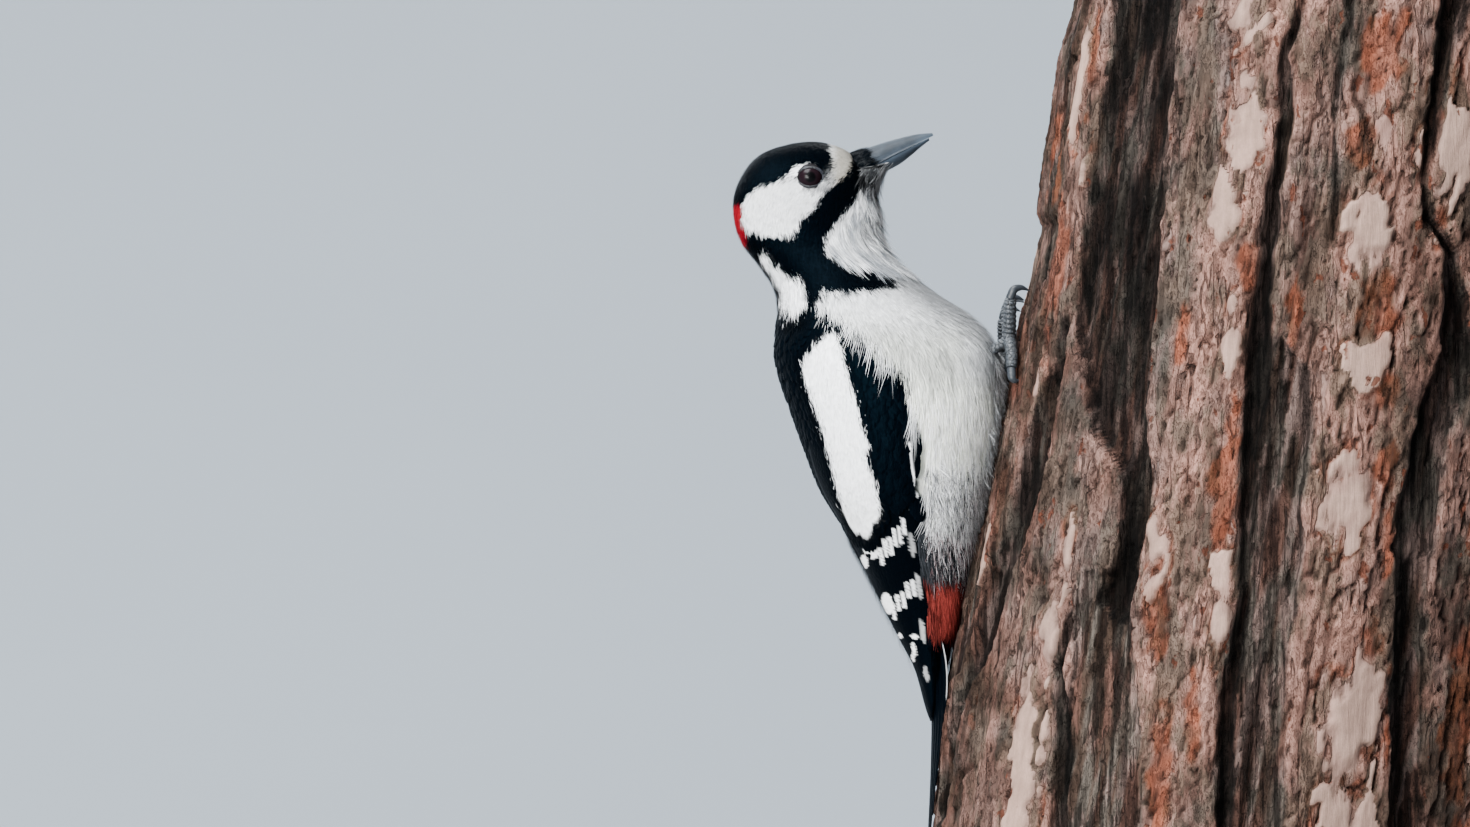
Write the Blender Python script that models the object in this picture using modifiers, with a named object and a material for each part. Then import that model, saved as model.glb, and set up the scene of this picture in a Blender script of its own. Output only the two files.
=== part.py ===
"""A great spotted woodpecker, life size, clinging to a cut length of pine trunk on a plain stand.

Blender 4.5 script. The world frame has its origin under the middle of the stand's base, +Z up, the trunk
on the bird's belly side at +X, and the bird's right side at -Y. Lengths below are in millimetres and are
turned into metres by MM where a mesh is made.

The bird is one envelope, out to the tips of its feathers. Each station of the envelope is a tilted slice: a
line from the dorsal outline to the ventral outline in the plane of symmetry, with a half width. A slice is
two half ellipses that meet where the bird is widest. The head, neck, body and wings are lofts over ranges of
the stations, so the parts meet on slices with a thin gap.
"""

import math

import bmesh
import bpy
import numpy as np
from mathutils import Vector

MM = 0.001
GAP = 0.3  # between touching pieces

# Stand and perch
BASE_LENGTH, BASE_DEPTH, BASE_HEIGHT = 300.0, 196.0, 12.0
BASE_EDGE = 2.0
ROD_RADIUS, ROD_SPREAD = 6.0, 42.0
LOG_RADIUS = 90.0  # at the crests of the bark
LOG_LEAN = math.radians(9.75)  # towards +X going up
LOG_FOOT_X = -1.1  # where the log's axis meets the floor
LOG_BOTTOM, LOG_TOP = 40.0, 312.0
BARK_RIDGES, BARK_DEPTH = 16, 4.5
LOG_COLUMNS, LOG_ROWS = 64, 8

# Envelope stations from the bill to the wing tips:
# dorsal x, dorsal z, ventral x, ventral z, half width, share of the line where the slice is widest
STATIONS = np.array([
    (-106.5, 260.8, -103.5, 253.5, 5.0, 0.50),  # 0 bill base
    (-110.1, 262.9, -101.5, 250.8, 8.2, 0.50),  # 1 forehead and chin
    (-117.6, 264.7, -99.7, 247.6, 10.1, 0.50),  # 2 front of the crown
    (-126.3, 263.7, -98.4, 244.3, 11.6, 0.50),  # 3 crown
    (-135.0, 260.2, -97.8, 241.0, 12.7, 0.52),  # 4 hind crown and throat
    (-140.7, 252.7, -97.8, 237.8, 13.2, 0.52),  # 5 occiput
    (-142.5, 244.6, -97.3, 234.8, 13.4, 0.50),  # 6 nape
    (-140.4, 234.7, -95.6, 231.4, 13.9, 0.48),  # 7 neck
    (-135.6, 228.1, -91.8, 227.5, 15.6, 0.46),  # 8 lower neck
    (-130.9, 221.2, -86.1, 222.9, 19.0, 0.45),  # 9 shoulder
    (-129.3, 214.6, -79.5, 218.2, 23.3, 0.45),  # 10
    (-129.7, 207.1, -71.7, 213.1, 27.3, 0.45),  # 11 mantle and upper breast
    (-130.0, 200.0, -64.9, 206.6, 29.8, 0.45),  # 12
    (-128.1, 192.0, -61.1, 197.2, 31.0, 0.45),  # 13 breast
    (-125.1, 183.4, -60.6, 185.5, 31.0, 0.45),  # 14
    (-121.2, 172.6, -62.6, 172.9, 30.0, 0.45),  # 15 belly
    (-116.4, 160.3, -65.1, 160.0, 27.6, 0.45),  # 16
    (-109.8, 149.2, -67.5, 148.6, 24.0, 0.45),  # 17
    (-103.8, 138.0, -69.6, 138.0, 19.4, 0.45),  # 18 vent
    (-98.1, 126.4, -72.3, 127.2, 14.6, 0.48),  # 19 tail root
    (-92.4, 115.2, -75.6, 115.8, 11.2, 0.50),  # 20
    (-87.9, 106.4, -78.0, 106.4, 9.0, 0.50),  # 21
    (-84.9, 96.0, -79.6, 96.0, 7.2, 0.50),  # 22
    (-83.2, 90.2, -80.4, 90.2, 4.6, 0.50),  # 23 wing tips
])
LAST = len(STATIONS) - 1
HEAD_END, NECK_END, TORSO_END, VENT_END = 6.4, 9.4, 18.2, 20.35
EYE_CENTRE, EYE_RADIUS = (-119.1, 9.5, 253.6), 4.2

# Folded wing: stations, and the angles of its edges from the dorsal mid-line at those stations
WING_START, WING_SPLIT, WING_END = 10.2, 15.6, 22.95
WING_EDGE_AT = (10.2, 10.6, 11.2, 12.0, 13.0, 14.0, 19.0, 20.0, 21.0, 23.0)
WING_VENTRAL_DEG = (62.0, 74.0, 84.0, 91.0, 96.0, 99.0, 99.0, 94.0, 86.0, 84.0)
WING_DORSAL_DEG = (50.0, 42.0, 37.0, 33.0, 29.0, 25.0, 9.0, 7.0, 7.0, 9.0)
WING_LIP = 0.05  # radians between a wing's edge and the body's step under it
WING_THICK_AT = (10.0, 12.0, 14.0, 18.0, 21.0, 23.0)
WING_THICK = (1.0, 3.0, 3.4, 2.6, 1.6, 1.0)
HOLLOW_AT = (10.0, 16.0, 18.0, 19.0, 20.0, 21.0)  # how far the rump lies under the folded wings
HOLLOW = (0.0, 0.6, 3.2, 5.4, 6.2, 6.6)

# Bill, in its own frame: along the bill from its base, and up from its axis
BILL_ROOT, BILL_PITCH = (-105.3, 257.5), math.radians(23.2)
BILL_LENGTH, LOWER_BILL_LENGTH = 24.8, 23.2
BILL_AT = (0.0, 5.5, 12.0, 17.0, 21.0, 24.8)
BILL_CULMEN = (3.5, 3.2, 2.6, 1.9, 1.1, -0.2)
BILL_CUTTING_EDGE = (-2.6, -2.3, -1.8, -1.5, -1.3, -1.1)
BILL_KEEL = (-4.2, -5.0, -4.8, -3.6, -2.4, -1.5)
BILL_HALF_WIDTH = (4.6, 4.2, 3.2, 2.4, 1.7, 0.8)

# Tail: height, dorsal x in the middle, thickness, half width, and how far its edges bend to the trunk
TAIL = np.array([
    (126.0, -84.6, 3.6, 5.6, 0.4),
    (115.0, -83.6, 3.0, 7.4, 1.4),
    (103.0, -83.2, 2.4, 9.6, 2.4),
    (90.0, -82.8, 1.8, 11.6, 2.4),
    (76.0, -83.0, 1.5, 12.4, 1.6),
    (63.0, -83.5, 1.3, 9.6, 0.8),
    (53.0, -84.0, 1.1, 5.4, 0.3),
    (48.4, -84.2, 0.9, 2.0, 0.0),
])

# Feet: each digit's points as (up the trunk, outwards, off the bark) from the foot's middle, and its radii
FOOT_HEIGHT, FOOT_SIDE, FOOT_OFF = 192.0, 14.0, 3.7
LEFT_FOOT_DROP = 3.2
DIGITS = {
    "inner": (((0, 0, 0), (4.0, -1.5, 0.0), (8.0, -2.6, -0.2), (11.2, -3.4, -0.5)), (1.8, 1.7, 1.7, 1.5), 1),
    "middle": (((0, 0, 0), (5.0, 0.9, 0.0), (10.0, 1.7, -0.2), (14.4, 2.2, -0.5)), (1.9, 1.8, 1.7, 1.5), 1),
    "outer": (((0, 0, 0), (-1.6, 3.4, -0.2), (-4.6, 6.2, -0.6), (-8.6, 7.6, -0.8)), (1.9, 1.8, 1.7, 1.5), -1),
    "hind": (((0, 0, 0), (-3.2, -1.8, -0.9), (-6.0, -3.4, -1.8)), (1.6, 1.4, 1.2), -1),
}
TARSUS = ((0, 0, 0), (-3.2, -0.4, 3.4), (-7.0, -0.8, 7.6), (-10.0, -1.0, 11.0))
CLAW_REACH, CLAW_RADIUS = 3.2, 1.2
THIGH_CENTRE, THIGH_SIZE = (-71.0, 14.5, 200.0), (8.0, 6.4, 9.5)

COLOURS = {
    "black": ((0.012, 0.014, 0.018), 0.45),
    "white": ((0.82, 0.82, 0.80), 0.75),
    "buff": ((0.72, 0.70, 0.64), 0.80),
    "red": ((0.55, 0.03, 0.02), 0.70),
    "horn": ((0.16, 0.19, 0.22), 0.35),
    "skin": ((0.24, 0.27, 0.28), 0.60),
    "eye": ((0.07, 0.02, 0.025), 0.10),
    "bark": ((0.30, 0.17, 0.11), 0.90),
    "oak": ((0.30, 0.20, 0.12), 0.50),
    "steel": ((0.42, 0.43, 0.45), 0.30),
}


def material(name):
    """A plain Principled material of one of the named finishes."""
    made = bpy.data.materials.get(name) or bpy.data.materials.new(name)
    made.use_nodes = True
    shader = made.node_tree.nodes["Principled BSDF"]
    colour, roughness = COLOURS[name]
    shader.inputs["Base Color"].default_value = (*colour, 1.0)
    shader.inputs["Roughness"].default_value = roughness
    shader.inputs["Metallic"].default_value = 1.0 if name == "steel" else 0.0
    return made


def curve_through(values, at):
    """Cubic Hermite curve through rows of values, at fractional row numbers, with central slopes."""
    values = np.asarray(values, float)
    at = np.clip(np.asarray(at, float), 0, len(values) - 1)
    low = np.minimum(at.astype(int), len(values) - 2)
    share = (at - low)[..., None] if values.ndim > 1 else at - low
    slopes = np.gradient(values, axis=0)
    start, end = values[low], values[low + 1]
    square, cube = share**2, share**3
    return (
        (2 * cube - 3 * square + 1) * start
        + (cube - 2 * square + share) * slopes[low]
        + (3 * square - 2 * cube) * end
        + (cube - square) * slopes[low + 1]
    )


def envelope(station, angle, inward=0.0):
    """Points on the envelope, in mm. angle runs from the dorsal mid-line, 0, to the ventral one, pi.

    The point is the widest place of the slice plus a cosine share of the way to the outline, with the half
    width times the sine of the angle, then moved inward towards that widest place.
    """
    station, angle = np.broadcast_arrays(np.asarray(station, float), np.asarray(angle, float))
    row = curve_through(STATIONS, station)
    dorsal, ventral = row[..., 0:2], row[..., 2:4]
    middle = dorsal + (ventral - dorsal) * row[..., 5:6]
    cosine = np.cos(angle)[..., None]
    reach = np.where(cosine > 0, dorsal - middle, ventral - middle) * np.abs(cosine)
    side = row[..., 4] * np.sin(angle)
    length = np.sqrt((reach**2).sum(-1) + side**2)
    keep = 1 - np.minimum(inward / np.maximum(length, 1e-6), 0.9)
    flat = middle + reach * keep[..., None]
    return np.stack([flat[..., 0], side * keep, flat[..., 1]], -1)


def slice_normal(station):
    """Unit normal of a slice's plane, pointing to the next station."""
    row = curve_through(STATIONS, station)
    line = np.array([row[2] - row[0], 0.0, row[3] - row[1]])
    normal = np.cross(line, (0.0, 1.0, 0.0))
    ahead = envelope(station + 0.2, 1.5) - envelope(station - 0.2, 1.5)
    normal /= np.linalg.norm(normal)
    return normal if normal @ ahead > 0 else -normal


def wing_edges(station):
    """Angles of the folded wing's dorsal and ventral edges."""
    dorsal = np.interp(station, WING_EDGE_AT, WING_DORSAL_DEG)
    ventral = np.interp(station, WING_EDGE_AT, WING_VENTRAL_DEG)
    return math.radians(dorsal), math.radians(ventral)


def wing_thickness(station, share):
    """Thickness of the folded wing, thinner towards both edges. share is 0 to 1 from edge to edge."""
    edge = 0.45 + 0.55 * np.sqrt(np.clip(4 * share * (1 - share), 0, 1))
    return np.interp(station, WING_THICK_AT, WING_THICK) * edge


def add_object(name, mesh, finish, smooth=True):
    """Links a mesh as a named part with its material."""
    obj = bpy.data.objects.new(name, mesh)
    parts.objects.link(obj)
    mesh.materials.append(material(finish))
    if smooth:
        mesh.shade_smooth()
        mesh.set_sharp_from_angle(angle=math.radians(50))
    return obj


def ring_mesh(name, rings):
    """Closed loft through equal rings of points in mm, each ring closed, both ends capped."""
    rings = np.asarray(rings, float)
    count, around = rings.shape[:2]
    index = np.arange(count * around).reshape(count, around)
    after = np.roll(index, -1, axis=1)
    sides = np.stack([index[:-1], after[:-1], after[1:], index[1:]], -1).reshape(-1, 4)
    mesh = bpy.data.meshes.new(name)
    faces = [*sides.tolist(), index[0].tolist(), index[-1][::-1].tolist()]
    mesh.from_pydata((rings.reshape(-1, 3) * MM).tolist(), [], faces)
    made = bmesh.new()
    made.from_mesh(mesh)
    bmesh.ops.remove_doubles(made, verts=made.verts, dist=1e-6)
    bmesh.ops.recalc_face_normals(made, faces=made.faces)
    made.to_mesh(mesh)
    made.free()
    return mesh


def both_sides(half):
    """A closed ring from its half that runs from the dorsal to the ventral mid-line at y >= 0."""
    other = half[1:-1][::-1] * (1, -1, 1)
    return np.concatenate([half, other])


def body_half_ring(station, grow=0.0):
    """Half a slice of the body, sunk under the folded wing and where the rump lies between the wings."""
    first, last = wing_edges(station)
    back = np.linspace(0, first - WING_LIP, 4)
    seat = np.linspace(first, last, 7)
    front = np.linspace(last + WING_LIP, math.pi, 6)
    angles = np.concatenate([back, seat, front])
    inward = np.interp(station, HOLLOW_AT, HOLLOW) * np.clip(np.cos(angles), 0, 1)
    if station >= WING_START - 0.7:
        under = slice(len(back), len(back) + len(seat))
        depth = wing_thickness(station, (seat - first) / (last - first)) + GAP + 0.15
        inward[under] = np.maximum(inward[under], depth)
    return envelope(station, angles, inward - grow)


def body_section(name, start, end, finish, spacing=0.6, taper=False):
    """A part of the body between two stations, set back from its end slices by half a gap."""
    count = max(3, round((end - start) / spacing))
    stations = np.linspace(start, end, count + 1)
    rings = [both_sides(body_half_ring(s)) for s in stations]
    if start > 0:
        rings[0] = rings[0] + slice_normal(start) * GAP / 2
    if taper:
        middle = rings[-1].mean(0) + slice_normal(end) * 3.0
        rings.append(middle + (rings[-1] - middle) * 0.55 + slice_normal(end) * 0.2)
        rings.append(middle + (rings[-2] - middle) * 0.1 + slice_normal(end) * 1.0)
    else:
        rings[-1] = rings[-1] - slice_normal(end) * GAP / 2
    return add_object(name, ring_mesh(name, rings), finish)


def wing_section(name, side, start, end):
    """A curved shell of the folded wing between two stations, on the side +1 (left) or -1 (right)."""
    stations = np.linspace(start, end, max(4, round((end - start) / 0.6)) + 1)
    across = np.linspace(0, 1, 9)
    rings = []
    for s in stations:
        first, last = wing_edges(s)
        margin = 0.012
        angles = first + margin + (last - first - 2 * margin) * across
        outer = envelope(s, angles)
        inner = envelope(s, angles, wing_thickness(s, across))
        rings.append(np.concatenate([outer, inner[::-1]]) * (1, side, 1))
    return add_object(name, ring_mesh(name, rings), "black")


def tail_rings(grow=0.0):
    """Rings of the tail: an arched plate that narrows to the long middle feathers."""
    rings = []
    across = np.linspace(-1, 1, 7)
    for share in np.linspace(0, 1, 13):
        z, x, thick, half, bend = curve_through(TAIL, share * (len(TAIL) - 1))
        y = across * (half + grow)
        front = x - grow + bend * across**2
        back = front + (thick + 2 * grow) * (1 - 0.5 * across**4)
        height = np.full_like(y, z)
        dorsal = np.stack([front, y, height], -1)
        rings.append(np.concatenate([dorsal, np.stack([back, y, height], -1)[::-1]]))
    return rings


def bill_half(name, side_up, length):
    """One half of the bill: a half oval section on the cutting edge, carried along the bill's axis."""
    along_axis = np.array([math.cos(BILL_PITCH), 0, math.sin(BILL_PITCH)])
    up = np.array([-math.sin(BILL_PITCH), 0, math.cos(BILL_PITCH)])
    root = np.array([BILL_ROOT[0], 0, BILL_ROOT[1]])
    outline = BILL_CULMEN if side_up else BILL_KEEL
    rings = []
    for share in np.linspace(0, 1, 10):
        u = GAP + 0.2 + (length - GAP - 0.2) * share
        edge = np.interp(u, BILL_AT, BILL_CUTTING_EDGE)
        top = curve_through(outline, np.interp(u, BILL_AT, range(len(BILL_AT))))
        half = curve_through(BILL_HALF_WIDTH, np.interp(u, BILL_AT, range(len(BILL_AT))))
        sign = 1 if side_up else -1
        angles = np.linspace(0, math.pi, 9)
        y = half * np.cos(angles)
        rise = np.sin(angles) ** 0.85 * (top - edge - sign * GAP / 2)
        height = edge + sign * GAP / 2 + rise
        rings.append(root + along_axis * u + np.outer(height, up) + np.outer(y, (0, 1, 0)))
    return add_object(name, ring_mesh(name, rings), "horn")


def on_bark(up, outwards, off, side):
    """World point from a height along the log, a distance round it from its line nearest the bird, and
    a distance off the bark."""
    axis = np.array([math.sin(LOG_LEAN), 0, math.cos(LOG_LEAN)])
    facing = np.array([-math.cos(LOG_LEAN), 0, math.sin(LOG_LEAN)])
    turn = side * outwards / LOG_RADIUS
    spoke = facing * math.cos(turn) + np.array([0, 1, 0]) * math.sin(turn)
    return np.array([LOG_FOOT_X, 0, 0]) + axis * up + spoke * (LOG_RADIUS + off)


def foot_point(place, side):
    """World point of a foot's own coordinates: up the trunk, outwards, off the bark."""
    height = FOOT_HEIGHT + place[0] - (LEFT_FOOT_DROP if side > 0 else 0.0)
    return on_bark(height, FOOT_SIDE + place[1], FOOT_OFF + place[2], side)


def tube_rings(points, radii, sides=8, steps=2, round_end=False):
    """Round rings along a smooth curve through points, with the radius eased between them."""
    points = np.asarray(points, float)
    at = np.linspace(0, len(points) - 1, (len(points) - 1) * steps + 1)
    line = curve_through(points, at)
    radius = curve_through(np.asarray(radii, float), at)
    tangent = np.gradient(line, axis=0)
    tangent /= np.linalg.norm(tangent, axis=1, keepdims=True)
    if round_end:
        line = np.concatenate([line, line[-1:] + tangent[-1:] * radius[-1] * 0.6])
        line = np.concatenate([line, line[-2:-1] + tangent[-1:] * radius[-1] * 0.85])
        tangent = np.concatenate([tangent, tangent[-1:], tangent[-1:]])
        radius = np.concatenate([radius, radius[-1:] * 0.8, radius[-1:] * 0.45])
    first = np.cross(tangent, (0.3, 1.0, 0.2))
    first /= np.linalg.norm(first, axis=1, keepdims=True)
    second = np.cross(tangent, first)
    turn = np.linspace(0, 2 * math.pi, sides, endpoint=False)[:, None]
    return [
        p + r * (np.cos(turn) * a + np.sin(turn) * b)
        for p, r, a, b in zip(line, radius, first, second)
    ]


def helper(name, mesh):
    """A cutter: a mesh object that is no part of the model."""
    obj = bpy.data.objects.new(name, mesh)
    helpers.objects.link(obj)
    obj.hide_render = True
    obj.display_type = "WIRE"
    return obj


def boolean(obj, other, operation):
    """Adds an exact Boolean modifier."""
    modifier = obj.modifiers.new(operation.title(), "BOOLEAN")
    modifier.operation = operation
    modifier.object = other
    modifier.solver = "EXACT"
    return modifier


def ball(name, centre, size, segments=14, rings=9):
    """An ellipsoid mesh, its half sizes in mm."""
    mesh = bpy.data.meshes.new(name)
    made = bmesh.new()
    bmesh.ops.create_uvsphere(made, u_segments=segments, v_segments=rings, radius=1.0)
    bmesh.ops.scale(made, vec=Vector(size) * MM, verts=made.verts)
    bmesh.ops.translate(made, vec=Vector(centre) * MM, verts=made.verts)
    made.to_mesh(mesh)
    made.free()
    return mesh


def head():
    """Head with a round socket for each eye."""
    skull = body_section("head", 0.0, HEAD_END, "black")
    for side, word in ((-1, "right"), (1, "left")):
        centre = (EYE_CENTRE[0], side * EYE_CENTRE[1], EYE_CENTRE[2])
        size = (EYE_RADIUS + GAP,) * 3
        boolean(skull, helper(f"socket_{word}", ball("socket", centre, size)), "DIFFERENCE")
        eye = ball(f"eye_{word}", centre, (EYE_RADIUS,) * 3, 16, 10)
        add_object(f"eye_{word}", eye, "eye")


def legs(torso_cutter):
    """Feathered thighs, feet with four digits each, and their claws."""
    for side, word in ((-1, "right"), (1, "left")):
        drop = LEFT_FOOT_DROP if side > 0 else 0.0
        centre = (THIGH_CENTRE[0], side * THIGH_CENTRE[1], THIGH_CENTRE[2] - drop)
        thigh = add_object(f"thigh_{word}", ball("thigh", centre, THIGH_SIZE), "buff")
        boolean(thigh, torso_cutter, "DIFFERENCE")
        grown = tuple(value + GAP for value in THIGH_SIZE)
        thigh_cutter = helper(f"thigh_room_{word}", ball("room", centre, grown))
        line = [foot_point(place, side) for place in TARSUS]
        tarsus = ring_mesh("tarsus", tube_rings(line, (1.9, 1.5, 1.4, 1.4)))
        leg = add_object(f"leg_{word}", tarsus, "skin")
        for digit, (places, radii, way) in DIGITS.items():
            line = [foot_point(place, side) for place in places]
            rings = tube_rings(line, radii, round_end=True)
            toe = helper(f"toe_{digit}_{word}", ring_mesh("toe", rings))
            boolean(leg, toe, "UNION")
            claw(f"claw_{digit}_{word}", places[-1], radii[-1], way, side)
        boolean(leg, thigh_cutter, "DIFFERENCE")


def claw(name, root, toe_radius, way, side):
    """A hooked cone from the toe's end, first along the toe and then in to the bark."""
    arch = ((0.0, 0.0), (0.62, 0.02), (1.0, 0.45), (0.86, 1.0))
    drop = FOOT_OFF + root[2] - 0.4
    start = 0.85 * toe_radius + GAP
    line = [
        foot_point((root[0] + way * (start + CLAW_REACH * a), root[1], root[2] - drop * b), side)
        for a, b in arch
    ]
    radii = (CLAW_RADIUS, 0.95 * CLAW_RADIUS, 0.62 * CLAW_RADIUS, 0.2)
    add_object(name, ring_mesh(name, tube_rings(line, radii, 7)), "horn")


def bark_relief(turn, height):
    """How far the bark lies under its crests, in mm: upright plates parted by wavering furrows.

    The furrow is a bell curve of the sine of the plate's phase, which sways with the height."""
    sway = 0.16 * np.sin(height / 41.0 + 2.0 * np.sin(turn)) + 0.1 * np.sin(height / 17.0 + 3 * turn)
    phase = 0.5 * BARK_RIDGES * turn + sway
    furrow = np.exp(-((np.sin(phase) / 0.42) ** 2))
    steps = 0.5 + 0.5 * np.sin(height / 23.0 + 5.0 * turn)
    return -BARK_DEPTH * furrow - 0.9 * steps


def log():
    """The cut length of trunk: a leaning round log with furrowed bark and level ends."""
    rings = []
    turn = np.linspace(0, 2 * math.pi, LOG_COLUMNS, endpoint=False)
    for share in np.linspace(0, 1, LOG_ROWS + 1):
        z = LOG_BOTTOM + (LOG_TOP - LOG_BOTTOM) * share
        radius = LOG_RADIUS + bark_relief(turn, z)
        middle = LOG_FOOT_X + z * math.tan(LOG_LEAN)
        x = middle - np.cos(turn) * radius / math.cos(LOG_LEAN)
        rings.append(np.stack([x, np.sin(turn) * radius, np.full_like(x, z)], -1))
    add_object("perch_log", ring_mesh("perch_log", rings), "bark", smooth=False)


def stand():
    """A flat base with eased edges and two short rods up to the log."""
    size = Vector((BASE_LENGTH, BASE_DEPTH, BASE_HEIGHT)) * MM
    slab = bpy.data.meshes.new("stand_base")
    made = bmesh.new()
    bmesh.ops.create_cube(made, size=1.0)
    bmesh.ops.scale(made, vec=size, verts=made.verts)
    bmesh.ops.translate(made, vec=(0, 0, size.z / 2), verts=made.verts)
    made.to_mesh(slab)
    made.free()
    base = add_object("stand_base", slab, "oak", smooth=False)
    eased = base.modifiers.new("Eased edges", "BEVEL")
    eased.width = BASE_EDGE * MM
    eased.segments = 2
    foot = LOG_FOOT_X + LOG_BOTTOM * math.tan(LOG_LEAN)
    height = LOG_BOTTOM - BASE_HEIGHT - 2 * GAP
    for number, way in enumerate((-1, 1), 1):
        place = Vector((foot + way * ROD_SPREAD, 0, BASE_HEIGHT + GAP + height / 2))
        rod = bpy.data.meshes.new(f"stand_rod_{number}")
        made = bmesh.new()
        bmesh.ops.create_cone(
            made, cap_ends=True, segments=24, radius1=ROD_RADIUS * MM, radius2=ROD_RADIUS * MM,
            depth=height * MM,
        )
        bmesh.ops.translate(made, vec=place * MM, verts=made.verts)
        made.to_mesh(rod)
        made.free()
        add_object(f"stand_rod_{number}", rod, "steel")


def main():
    head()
    body_section("neck", HEAD_END, NECK_END, "black")
    body_section("torso", NECK_END, TORSO_END, "buff")
    vent = body_section("undertail", TORSO_END, VENT_END, "red", 0.5, taper=True)
    add_object("tail", ring_mesh("tail", tail_rings()), "black")
    tail_room = helper("tail_room", ring_mesh("tail_room", tail_rings(GAP)))
    boolean(vent, tail_room, "DIFFERENCE")
    for side, word in ((-1, "right"), (1, "left")):
        wing_section(f"wing_{word}_coverts", side, WING_START, WING_SPLIT)
        flight = wing_section(f"wing_{word}_flight", side, WING_SPLIT + 0.03, WING_END)
        boolean(flight, tail_room, "DIFFERENCE")
    bill_half("bill_upper", True, BILL_LENGTH)
    bill_half("bill_lower", False, LOWER_BILL_LENGTH)
    room = ring_mesh("torso_room", [both_sides(body_half_ring(s, GAP)) for s in np.arange(10, 17, 0.45)])
    legs(helper("torso_room", room))
    log()
    stand()


for old in list(bpy.data.objects):
    bpy.data.objects.remove(old, do_unlink=True)
parts = bpy.data.collections.new("great_spotted_woodpecker")
helpers = bpy.data.collections.new("cutters")
bpy.context.scene.collection.children.link(parts)
bpy.context.scene.collection.children.link(helpers)
main()
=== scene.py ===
"""Looks of a great spotted woodpecker that clings to a cut length of pine trunk on a plain stand.

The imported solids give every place: the bird's envelope is repeated here from its stations, and everything
that shows is laid on it. A skin lies inside the envelope. Body feathers are tufts of tapered strands, and
the feathers of the wings and tail are curved vanes. Lengths are in millimetres until a mesh is made.

A place on the bird is (station, angle): the station runs from the bill, 0, to the wing tips, 23, and the
angle from the dorsal mid-line, 0, over the left side to the ventral one, pi, and over the right side as
negative angles. Markings are closed outlines in the plane of symmetry, the same for both sides.
"""

import math

import bpy
import numpy as np
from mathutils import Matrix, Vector


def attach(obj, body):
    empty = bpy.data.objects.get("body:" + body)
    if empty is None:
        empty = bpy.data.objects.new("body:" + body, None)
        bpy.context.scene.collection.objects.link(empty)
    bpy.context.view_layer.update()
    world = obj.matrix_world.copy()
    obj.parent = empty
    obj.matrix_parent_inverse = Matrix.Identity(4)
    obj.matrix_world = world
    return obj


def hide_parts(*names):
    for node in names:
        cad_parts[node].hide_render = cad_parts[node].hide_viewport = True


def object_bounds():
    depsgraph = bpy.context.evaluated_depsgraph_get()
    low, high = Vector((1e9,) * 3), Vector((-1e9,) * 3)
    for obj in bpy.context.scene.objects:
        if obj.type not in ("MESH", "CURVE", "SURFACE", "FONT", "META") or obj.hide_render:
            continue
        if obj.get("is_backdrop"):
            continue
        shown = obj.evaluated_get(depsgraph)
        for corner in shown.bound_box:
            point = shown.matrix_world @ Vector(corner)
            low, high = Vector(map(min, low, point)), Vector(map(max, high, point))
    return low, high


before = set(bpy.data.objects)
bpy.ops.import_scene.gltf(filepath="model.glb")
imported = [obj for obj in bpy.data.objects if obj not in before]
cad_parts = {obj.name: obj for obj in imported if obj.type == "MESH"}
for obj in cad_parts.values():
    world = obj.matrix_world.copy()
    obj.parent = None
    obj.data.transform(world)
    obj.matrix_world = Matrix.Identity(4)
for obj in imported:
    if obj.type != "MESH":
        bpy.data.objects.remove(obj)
cad_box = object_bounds()
MM = 0.001
rng = np.random.default_rng(7)
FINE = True
FACE_LIMIT = 190000

# ---------------------------------------------------------------- the envelope, as the solids have it
# dorsal x, dorsal z, ventral x, ventral z, half width, share of the line where the slice is widest
STATIONS = np.array([
    (-106.5, 260.8, -103.5, 253.5, 5.0, 0.50),
    (-110.1, 262.9, -101.5, 250.8, 8.2, 0.50),
    (-117.6, 264.7, -99.7, 247.6, 10.1, 0.50),
    (-126.3, 263.7, -98.4, 244.3, 11.6, 0.50),
    (-135.0, 260.2, -97.8, 241.0, 12.7, 0.52),
    (-140.7, 252.7, -97.8, 237.8, 13.2, 0.52),
    (-142.5, 244.6, -97.3, 234.8, 13.4, 0.50),
    (-140.4, 234.7, -95.6, 231.4, 13.9, 0.48),
    (-135.6, 228.1, -91.8, 227.5, 15.6, 0.46),
    (-130.9, 221.2, -86.1, 222.9, 19.0, 0.45),
    (-129.3, 214.6, -79.5, 218.2, 23.3, 0.45),
    (-129.7, 207.1, -71.7, 213.1, 27.3, 0.45),
    (-130.0, 200.0, -64.9, 206.6, 29.8, 0.45),
    (-128.1, 192.0, -61.1, 197.2, 31.0, 0.45),
    (-125.1, 183.4, -60.6, 185.5, 31.0, 0.45),
    (-121.2, 172.6, -62.6, 172.9, 30.0, 0.45),
    (-116.4, 160.3, -65.1, 160.0, 27.6, 0.45),
    (-109.8, 149.2, -67.5, 148.6, 24.0, 0.45),
    (-103.8, 138.0, -69.6, 138.0, 19.4, 0.45),
    (-98.1, 126.4, -72.3, 127.2, 14.6, 0.48),
    (-92.4, 115.2, -75.6, 115.8, 11.2, 0.50),
    (-87.9, 106.4, -78.0, 106.4, 9.0, 0.50),
    (-84.9, 96.0, -79.6, 96.0, 7.2, 0.50),
    (-83.2, 90.2, -80.4, 90.2, 4.6, 0.50),
])
LAST = len(STATIONS) - 1.0
WING_START, WING_END = 10.2, 22.95
WING_EDGE_AT = (10.2, 10.6, 11.2, 12.0, 13.0, 14.0, 19.0, 20.0, 21.0, 23.0)
WING_VENTRAL_DEG = (62.0, 74.0, 84.0, 91.0, 96.0, 99.0, 99.0, 94.0, 86.0, 84.0)
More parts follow.
